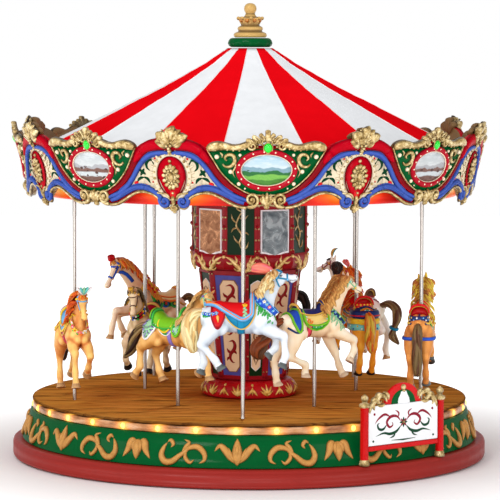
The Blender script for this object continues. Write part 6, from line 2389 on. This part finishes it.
def horse_bay():
    g = Horse("horse_bay")
    g.ears(); g.eyes(); g.hooves("hoof_tan")
    g.mane(["hair_fire_light", "hair_yellow", "hair_fire_light", "hair_fire"], n=17, length=10.0, width=1.5, wave=0.7, t1=0.86, bush=0.9, layers=3, back=0.1, fall=0.24, ang=24)
    g.forelock(["hair_ginger_light", "hair_fire_light"], 5, 3.4)
    g.tail(["hair_olive", "hair_umber", "hair_olive_light"], n=12, spin=0.6)
    g.plume(["red_h", "crimson", "red_h"], length=5.4, count=3, spread=0.22, width=2.4, lean_back=-0.2, curl=0.0)
    g.bridle("royal", rosette="yellow_h", knob="gold_h", w=0.62)
    for s in (-1, 1):
        line = [g.hit(np.array((x, 0, z)), np.array((0, s * 1.0, 0)), 12.0) for x, z in ((28.0, 13.4), (25.4, 13.2), (22.6, 11.6), (20.2, 9.2), (18.4, 6.8))]
        band(g.b, [q + d * 0.25 for q, d in line], [d for _, d in line], 1.15, 0.5, g.mat("royal"), closed=False)
    T, D, loop = g.patch(np.linspace(-15.5, 6.0, 20), scallop(-15.5, 6.0, 100, 3, 0.08), 0.35, "bottle")
    g.trim(loop, "leaf_h", 0.42, 0.5)
    g.disc(1.6, 84, 4.4, ("leaf_h", "bottle", "bottle"))
    g.disc(-4.4, 80, 2.8, ("royal", "bottle", "red_h"))
    g.disc(-11.0, 76, 2.8, ("leaf_h", "bottle", "yellow_h"))
    T, D, loop = g.patch(np.linspace(-15.0, 5.2, 19), oval_reach(-15.0, 5.2, 66, 0.78), 0.9, "seat_cream")
    g.trim(loop, "orange_h", 0.75, 0.75)
    g.saddle("seat_cream", "orange_h", ("yellow_h", "orange_h"), ("red_h", "red_h"), x0=-14.0, x1=4.4, deep=46, high=3.4, front=2.4)
    for s in (-1, 1):
        for j in range(7):
            p, d, q = g.crest(0.48 + 0.05 * j, s * (34 + 10 * (j % 3)))
            g.flower(p + d * 4.3, d, ("red_h", "yellow_h", "red_h")[j % 3], ("yellow_h", "orange_h")[j % 2], 2.0)
            g.leaflet(p + d * 4.0, d, (-0.6, s * 0.2, -0.6), ("red_h", "yellow_h")[j % 2], 3.8, 1.5)
    g.girth(-0.5, "crimson", 1.2, "gold_h")
    g.collar((9.6, 4.6), (19.0, -10.2), "yellow_h", w=1.2, edges="gold_h", flowers=(("yellow_h", "orange_h"), ("royal", "yellow_h")), beads=("orange_h", "royal", "yellow_h"), count=24, r=0.62)
    g.crupper("red_h", -14.0, 0.6, beads=("gold_h",))
    g.place()


def horse_chestnut():
    g = Horse("horse_chestnut")
    g.ears(); g.eyes(); g.hooves("hoof_tan")
    g.mane(["hair_fire", "hair_fire_light"], n=16, length=8.2, width=1.5, wave=0.8, sides_of=(-1,), layers=3, t1=0.7, fall=0.2)
    g.forelock(["hair_fire_light", "hair_fire"], 6, 4.0)
    for s in (-1, 1):
        for j in range(3):
            p, d, q = g.crest(0.05 + 0.06 * j, s * (18 + 14 * j))
            g.flower(p + d * 1.2, d, "yellow_h", "orange_h", 1.1)
    g.tail(["hair_umber", "hair_dark"], n=10)
    g.plume(["white_h", "aqua", "mint", "aqua", "white_h"], length=7.4, count=5, spread=0.62, width=1.75, lean_back=-0.1, curl=0.0)
    g.bridle("sky", rosette="yellow_h", knob="gold_h", noseband=False, w=0.4)
    T, D, loop = g.patch(np.linspace(-12.5, 5.6, 18), scallop(-12.5, 5.6, 108, 4, 0.07), 0.35, "purple")
    g.trim(loop, "gold_h", 0.4, 0.5)
    g.pattern(T, D, ("red_h", "yellow_h"), rows=(2,), step=3, r=0.5, petal=("red_h", "yellow_h"))
    T, D, loop = g.patch(np.linspace(-12.0, 5.0, 17), oval_reach(-12.0, 5.0, 84, 0.66), 0.8, "sky")
    g.trim(loop, "yellow_h", 0.6, 0.6)
    g.saddle("sky", "yellow_h", ("yellow_h", "sky", "orange_h"), ("yellow_h", "sky"), x0=-12.0, x1=4.0, deep=58, high=4.4, front=3.0)
    T, D, loop = g.patch(np.linspace(-19.5, -13.2, 10), oval_reach(-19.5, -13.2, 92, 0.62), 0.4, "red_h")
    g.trim(loop, "gold_h", 0.42, 0.5)
    g.girth(-1.0, "purple", 1.4, "red_h")
    g.collar((6.2, 3.6), (18.0, -8.2), "cream_h", w=1.6, edges="gold_h", flowers=(("pink", "yellow_h"), ("yellow_h", "red_h"), ("rose", "white_h"), ("white_h", "yellow_h")), beads=("leaf_h", "orange_h", "leaf_h"), count=30, r=0.85)
    g.crupper("red_h", -13.0, 0.6, beads=("yellow_h", "gold_h"), phi=70)
    g.place()


def horse_brown():
    g = Horse("horse_brown")
    g.ears(); g.eyes(); g.hooves("hoof_black")
    g.mane(["hair_olive", "hair_umber", "hair_olive_light"], n=15, length=6.4, width=1.3, wave=0.45, fall=0.24, back=0.6, bush=0.5, t1=0.7)
    g.forelock(["gold_h", "hair_olive_light"], 5, 2.4, 0.8)
    g.tail(["hair_olive", "hair_dark"], n=10, spin=1.2)
    g.bridle("hair_umber", rosette="gold_h", knob="gold_h", w=0.3)
    g.plume(["gold_h", "yellow_h", "gold_h"], length=3.4, count=3, spread=0.5, width=1.3, lean_back=0.0, curl=0.0)
    T, D, loop = g.patch(np.linspace(-11.5, 5.6, 18), oval_reach(-11.5, 5.6, 104, 0.55), 0.35, "crimson")
    g.trim(loop, "gold_h", 0.45, 0.5)
    T, D, loop = g.patch(np.linspace(-11.0, 5.0, 17), oval_reach(-11.0, 5.0, 80, 0.66), 0.8, "navy")
    g.trim(loop, "gold_h", 0.45, 0.55)
    g.saddle("crimson", "gold_h", ("gold_h", "crimson"), ("gold_h", "crimson"), x0=-11.0, x1=4.0, deep=60)
    g.girth(-1.0, "navy", 1.3, "gold_h")
    g.collar((8.8, 3.2), (18.2, -3.6), "hair_black", w=2.8, edges="gold_h", flowers=(), beads=("red_h", "leaf_h", "white_h", "royal", "yellow_h", "red_h"), count=34, r=0.7)
    g.crupper("navy", -12.0, 0.6, beads=("gold_h", "red_h"))
    g.place()


def horse_orange():
    g = Horse("horse_orange")
    g.ears(); g.eyes(); g.hooves("hoof_black")
    g.mane(["hair_fire", "hair_fire_light", "hair_fire_light"], n=15, length=9.5, width=1.5, wave=0.55)
    g.forelock(["hair_fire"], 5, 3.6)
    g.tail(["hair_fire_light", "hair_yellow", "hair_fire"], n=12, wide=1.5)
    g.plume(["salmon", "pink", "salmon"], length=5.6, count=3, spread=0.3, width=1.7, lean_back=0.5)
    g.bridle("gold_h", rosette="red_h", knob="gold_h")
    T, D, loop = g.patch(np.linspace(-22.4, 5.6, 26), scallop(-22.4, 5.6, 104, 8, 0.06, 0.85), 0.35, "aqua")
    g.trim(loop, "lime", 0.5, 0.5)
    g.pattern(T, D, ("royal", "white_h"), rows=(1,), step=2, r=0.42, petal=("leaf_h", "yellow_h"))
    T, D, loop = g.patch(np.linspace(-20.6, 5.0, 22), oval_reach(-20.6, 5.0, 88, 0.85), 0.6, "yellow_h")
    g.trim(loop, "orange_h", 0.5, 0.55)
    T, D, loop = g.patch(np.linspace(-18.6, 4.6, 20), oval_reach(-18.6, 4.6, 70, 0.85), 0.9, "navy")
    g.trim(loop, "navy", 0.6, 0.6)
    g.saddle("red_h", "gold_h", ("red_h", "gold_h", "red_h"), ("red_h", "gold_h"), x0=-13.6, x1=3.6, deep=66, high=3.4, front=3.0)
    g.girth(-1.0, "royal", 1.4, "yellow_h")
    g.collar((6.6, 4.0), (15.2, -12.6), "red_h", w=1.3, edges="gold_h", flowers=(("yellow_h", "red_h"),), beads=("aqua", "royal"), count=24)
    g.drape(-1.2, 2.1, "red_h", 1.0, 0.9, 82, beads=("orange_h", "yellow_h"), r=0.7)
    g.drape(-5.8, 2.5, "navy", 1.2, 0.5, 88, limit=7.9)
    g.drape(-6.4, 0.5, "red_h", 1.4, 0.6, 88, limit=8.0)
    g.drape(-10.0, 1.9, "yellow_h", 1.0, 0.4, 96, beads=("orange_h",), r=0.5, limit=8.0)
    g.drape(-13.4, 2.0, "aqua", 0.6, 0.3, 104, beads=("royal", "white_h", "yellow_h"), r=0.62)
    g.place()


def horse_ivory():
    g = Horse("horse_ivory")
    g.ears(); g.eyes(); g.hooves("hoof_tan")
    g.mane(["hair_dark", "hair_umber"], n=15, length=9.0, width=1.3, wave=0.5)
    g.forelock(["hair_dark"], 5, 3.8)
    g.tail(["hair_olive", "hair_umber", "hair_olive_light"], n=12, spin=0.6)
    x, z, r = TAILS["horse_ivory"][3]
    ring = [(x + 2.5 * math.cos(math.tau * k / 20), 2.5 * math.sin(math.tau * k / 20), z + 0.2 + 0.9 * math.cos(math.tau * k / 20)) for k in range(20)]
    band(g.b, ring, [unit(np.array(p) - np.array((x, 0, z + 0.2))) for p in ring], 0.9, 0.5, g.mat("teal"))
    g.plume(["teal", "aqua", "gold_h"], length=6.4, count=3, spread=0.12, width=1.1, lean_back=-0.15, curl=0.9)
    g.bridle("crimson", rosette="gold_h", knob="gold_h")
    T, D, loop = g.patch(np.linspace(-15.0, 5.6, 28), scallop(-15.0, 5.6, 102, 7, 0.10, 0.7), 0.35, "crimson")
    g.trim(loop, "white_h", 0.36, 0.48)
    g.pattern(T, D, ("white_h", "gold_h"), rows=(2,), step=2, r=0.4)
    T, D, loop = g.patch(np.linspace(-12.5, 5.0, 18), oval_reach(-12.5, 5.0, 76, 0.7), 0.8, "white_h")
    g.trim(loop, "crimson", 0.5, 0.55)
    g.saddle("hair_umber", "gold_h", ("gold_h", "hair_umber"), ("gold_h", "hair_umber"), x0=-11.6, x1=4.0, deep=58, high=4.4)
    g.girth(-1.0, "crimson", 1.2, "gold_h")
    g.collar((7.0, 4.0), (16.2, -12.4), "crimson", w=1.2, edges="white_h", flowers=(("teal", "white_h"),), beads=("gold_h", "white_h"), count=24)
    g.crupper("crimson", -13.0, 0.6, beads=("gold_h", "white_h"))
    g.place()


def horse_palomino():
    g = Horse("horse_palomino")
    g.ears("hair_yellow", length=4.8); g.eyes(); g.hooves("hoof_grey")
    g.mane(["hair_yellow", "hair_yellow", "hair_yellow", "hair_ginger"], n=17, length=6.4, width=1.9, wave=0.45, t1=0.82, bush=0.1, fall=0.26, ang=20, layers=3)
    g.forelock(["hair_yellow", "hair_olive"], 6, 4.0)
    g.tail(["hair_olive", "hair_umber", "hair_olive"], n=12, spin=0.3, wide=1.2)
    g.bridle("navy", rosette="gold_h", knob="gold_h")
    T, D, loop = g.patch(np.linspace(-10.5, 5.6, 18), oval_reach(-10.5, 5.6, 104, 0.6), 0.35, "aqua")
    g.trim(loop, "leaf_h", 0.5, 0.5)
    g.pattern(T, D, ("white_h", "royal"), rows=(1,), step=2, r=0.42, petal=("white_h", "yellow_h"))
    T, D, loop = g.patch(np.linspace(-10.0, 5.0, 17), oval_reach(-10.0, 5.0, 82, 0.66), 0.8, "red_h")
    g.trim(loop, "yellow_h", 0.55, 0.6)
    g.saddle("red_h", "gold_h", ("gold_h", "yellow_h", "red_h"), ("red_h", "gold_h"), x0=-12.2, x1=4.0, deep=60, high=4.0, front=3.4)
    g.girth(-1.0, "navy", 1.3, "gold_h")
    g.collar((6.4, 3.4), (15.0, -12.6), "red_h", w=1.3, edges="yellow_h", flowers=(("yellow_h", "red_h"), ("white_h", "yellow_h")), beads=("aqua", "leaf_h"), count=24)
    g.drape(-2.6, 1.7, "navy", 0.6, 0.3, 100, beads=("white_h", "sky", "gold_h"), r=0.6)
    g.drape(-13.6, 0.95, "royal", 0.6, 0.3, 100, limit=8.7)
    g.crupper("navy", -12.0, 0.6, beads=("gold_h", "yellow_h"), phi=48)
    g.place()


def horse_black():
    g = Horse("horse_black")
    g.ears(); g.eyes(); g.hooves("hoof_black")
    g.mane(["hair_black", "hair_dark"], n=15, length=9.0, width=1.3, wave=0.5)
    g.forelock(["hair_black"], 5, 3.6)
    g.tail(["hair_black", "hair_black", "hair_dark"], n=12, spin=0.4)
    g.bridle("red_h", rosette="gold_h", knob="gold_h")
    g.plume(["white_h", "red_h", "white_h"], length=4.4, count=3, spread=0.4, width=1.1)
    T, D, loop = g.patch(np.linspace(-11.5, 5.6, 18), scallop(-11.5, 5.6, 106, 4, 0.07), 0.35, "royal")
    g.trim(loop, "gold_h", 0.42, 0.5)
    g.pattern(T, D, ("white_h", "sky"), rows=(2,), step=3, r=0.45, petal=("white_h", "yellow_h"))
    T, D, loop = g.patch(np.linspace(-11.0, 5.0, 17), oval_reach(-11.0, 5.0, 84, 0.66), 0.8, "teal")
    g.trim(loop, "gold_h", 0.5, 0.55)
    g.saddle("crimson", "gold_h", ("gold_h", "red_h"), ("gold_h", "red_h"), x0=-11.0, x1=4.0, deep=60)
    g.girth(-1.0, "red_h", 1.3, "gold_h")
    g.collar((6.6, 3.6), (16.0, -12.6), "red_h", w=1.3, edges="gold_h", flowers=(("white_h", "yellow_h"), ("sky", "white_h")), beads=("gold_h",), count=24)
    g.crupper("red_h", -12.0, 0.6, beads=("gold_h",))
    g.place()


def horse_pieces():
    horse_white()
    horse_tan()
    horse_cream()
    horse_bay()
    horse_chestnut()
    horse_brown()
    horse_orange()
    horse_ivory()
    horse_palomino()
    horse_black()

# ------------------------------------------------------------------ everything in place
base_piece()
fascia_piece()
strip_pieces()
deck_piece()
column_pieces()
roof_piece()
top_pieces()
sign_pieces()
cornice_pieces()
horse_pieces()


def poles():
    for name, h in HORSES.items():
        node = name.replace("horse", "pole")
        lo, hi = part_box(node)
        x, y = (lo[0] + hi[0]) / 2 * 1000, (lo[1] + hi[1]) / 2 * 1000
        z0, z1 = lo[2] * 1000, hi[2] * 1000
        b = Build()
        prof = [(0.0, z0), (0.8, z0), (1.1, z0 + 0.3)] + [(1.1, z0 + 0.3 + (z1 - z0 - 0.6) * k / 12) for k in range(13)] + [(1.1, z1 - 0.3), (0.8, z1), (0.0, z1)]
        verts = []
        for k in range(20):
            a = math.tau * k / 20
            for r, z in prof:
                verts.append((x + r * math.cos(a), y + r * math.sin(a), z))
        b.add(verts, grid_faces(20, len(prof), wrap_r=True), 0, True)
        obj = b.object(node + "_rod", [STEEL])
        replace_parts(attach(obj, name.replace("horse", "jumper")), node)


poles()


# ------------------------------------------------------------------ camera, light, floor
def camera():
    cam = bpy.data.cameras.new("camera")
    cam.lens = 202.2
    cam.sensor_width = 36.0
    cam.sensor_fit = "HORIZONTAL"
    cam.shift_x = 0.00083
    cam.clip_start = 0.05
    obj = bpy.data.objects.new("camera", cam)
    bpy.context.scene.collection.objects.link(obj)
    tilt = math.pi / 2 - 0.079
    obj.matrix_world = Matrix.Translation((0.0, -1.659382, 0.252023)) @ Matrix.Rotation(tilt, 4, "X") @ Matrix.Rotation(0.003, 4, "Z")
    bpy.context.scene.camera = obj


def area(name, place, target, size, power, color=(1, 1, 1)):
    light = bpy.data.lights.new(name, "AREA")
    light.shape = "RECTANGLE"
    light.size, light.size_y = size
    light.energy = power
    light.color = color
    obj = bpy.data.objects.new(name, light)
    bpy.context.scene.collection.objects.link(obj)
    obj.location = place
    obj.rotation_euler = (Vector(target) - Vector(place)).to_track_quat("-Z", "Y").to_euler()


def studio():
    world = bpy.data.worlds.new("studio")
    world.use_nodes = True
    bg = world.node_tree.nodes["Background"]
    bg.inputs[0].default_value = (1.0, 1.0, 1.0, 1.0)
    nodes, links = world.node_tree.nodes, world.node_tree.links
    seen = nodes.new("ShaderNodeBackground")
    seen.inputs[0].default_value = (1.0, 1.0, 1.0, 1.0)
    seen.inputs[1].default_value = 1.0
    path, both = nodes.new("ShaderNodeLightPath"), nodes.new("ShaderNodeMixShader")
    bg.inputs[1].default_value = 0.50
    links.new(path.outputs["Is Camera Ray"], both.inputs[0])
    links.new(bg.outputs[0], both.inputs[1])
    links.new(seen.outputs[0], both.inputs[2])
    links.new(both.outputs[0], nodes["World Output"].inputs["Surface"])
    bpy.context.scene.world = world
    view = bpy.context.scene.view_settings
    view.view_transform = "Standard"
    view.look = "None"
    area("key", (-0.7, -1.15, 1.05), (0, 0, 0.12), (0.55, 0.55), 9.6)
    area("side", (-1.35, -0.5, 0.28), (0, 0, 0.10), (0.7, 0.5), 2.6)
    area("fill", (1.05, -1.0, 0.55), (0, 0, 0.12), (0.7, 0.7), 4.2)
    area("front", (0.05, -1.5, 0.22), (0, 0, 0.12), (0.6, 0.4), 4.2)
    area("back", (0.0, 1.1, 1.0), (0, 0, 0.15), (1.0, 0.5), 1.0)
    area("top", (0.0, 0.0, 1.4), (0, 0, 0.1), (0.9, 0.9), 1.2)
    b = Build()
    span = 4200.0
    n = 24
    verts = [((i / n - 0.5) * span, (j / n - 0.5) * span, -0.4) for i in range(n + 1) for j in range(n + 1)]
    b.add(verts, grid_faces(n + 1, n + 1), 0, True)
    m = Mat("studio_floor", 0.6)
    m.color(m.mix(m.noise(3.0), (0.90, 0.90, 0.90), (0.93, 0.93, 0.93)))
    x, y, z = m.xyz()
    far = m.math("SQRT", m.math("ADD", m.math("MULTIPLY", x, x), m.math("MULTIPLY", y, y)))
    white = m.remap(far, 0.14, 0.34)
    m.link(m.mix(white, (0.0, 0.0, 0.0), (1.0, 1.0, 1.0)), m.bsdf.inputs["Emission Color"])
    m.bsdf.inputs["Emission Strength"].default_value = 0.75
    floor = b.object("studio_floor_sheet", [m.mat])


camera()
studio()
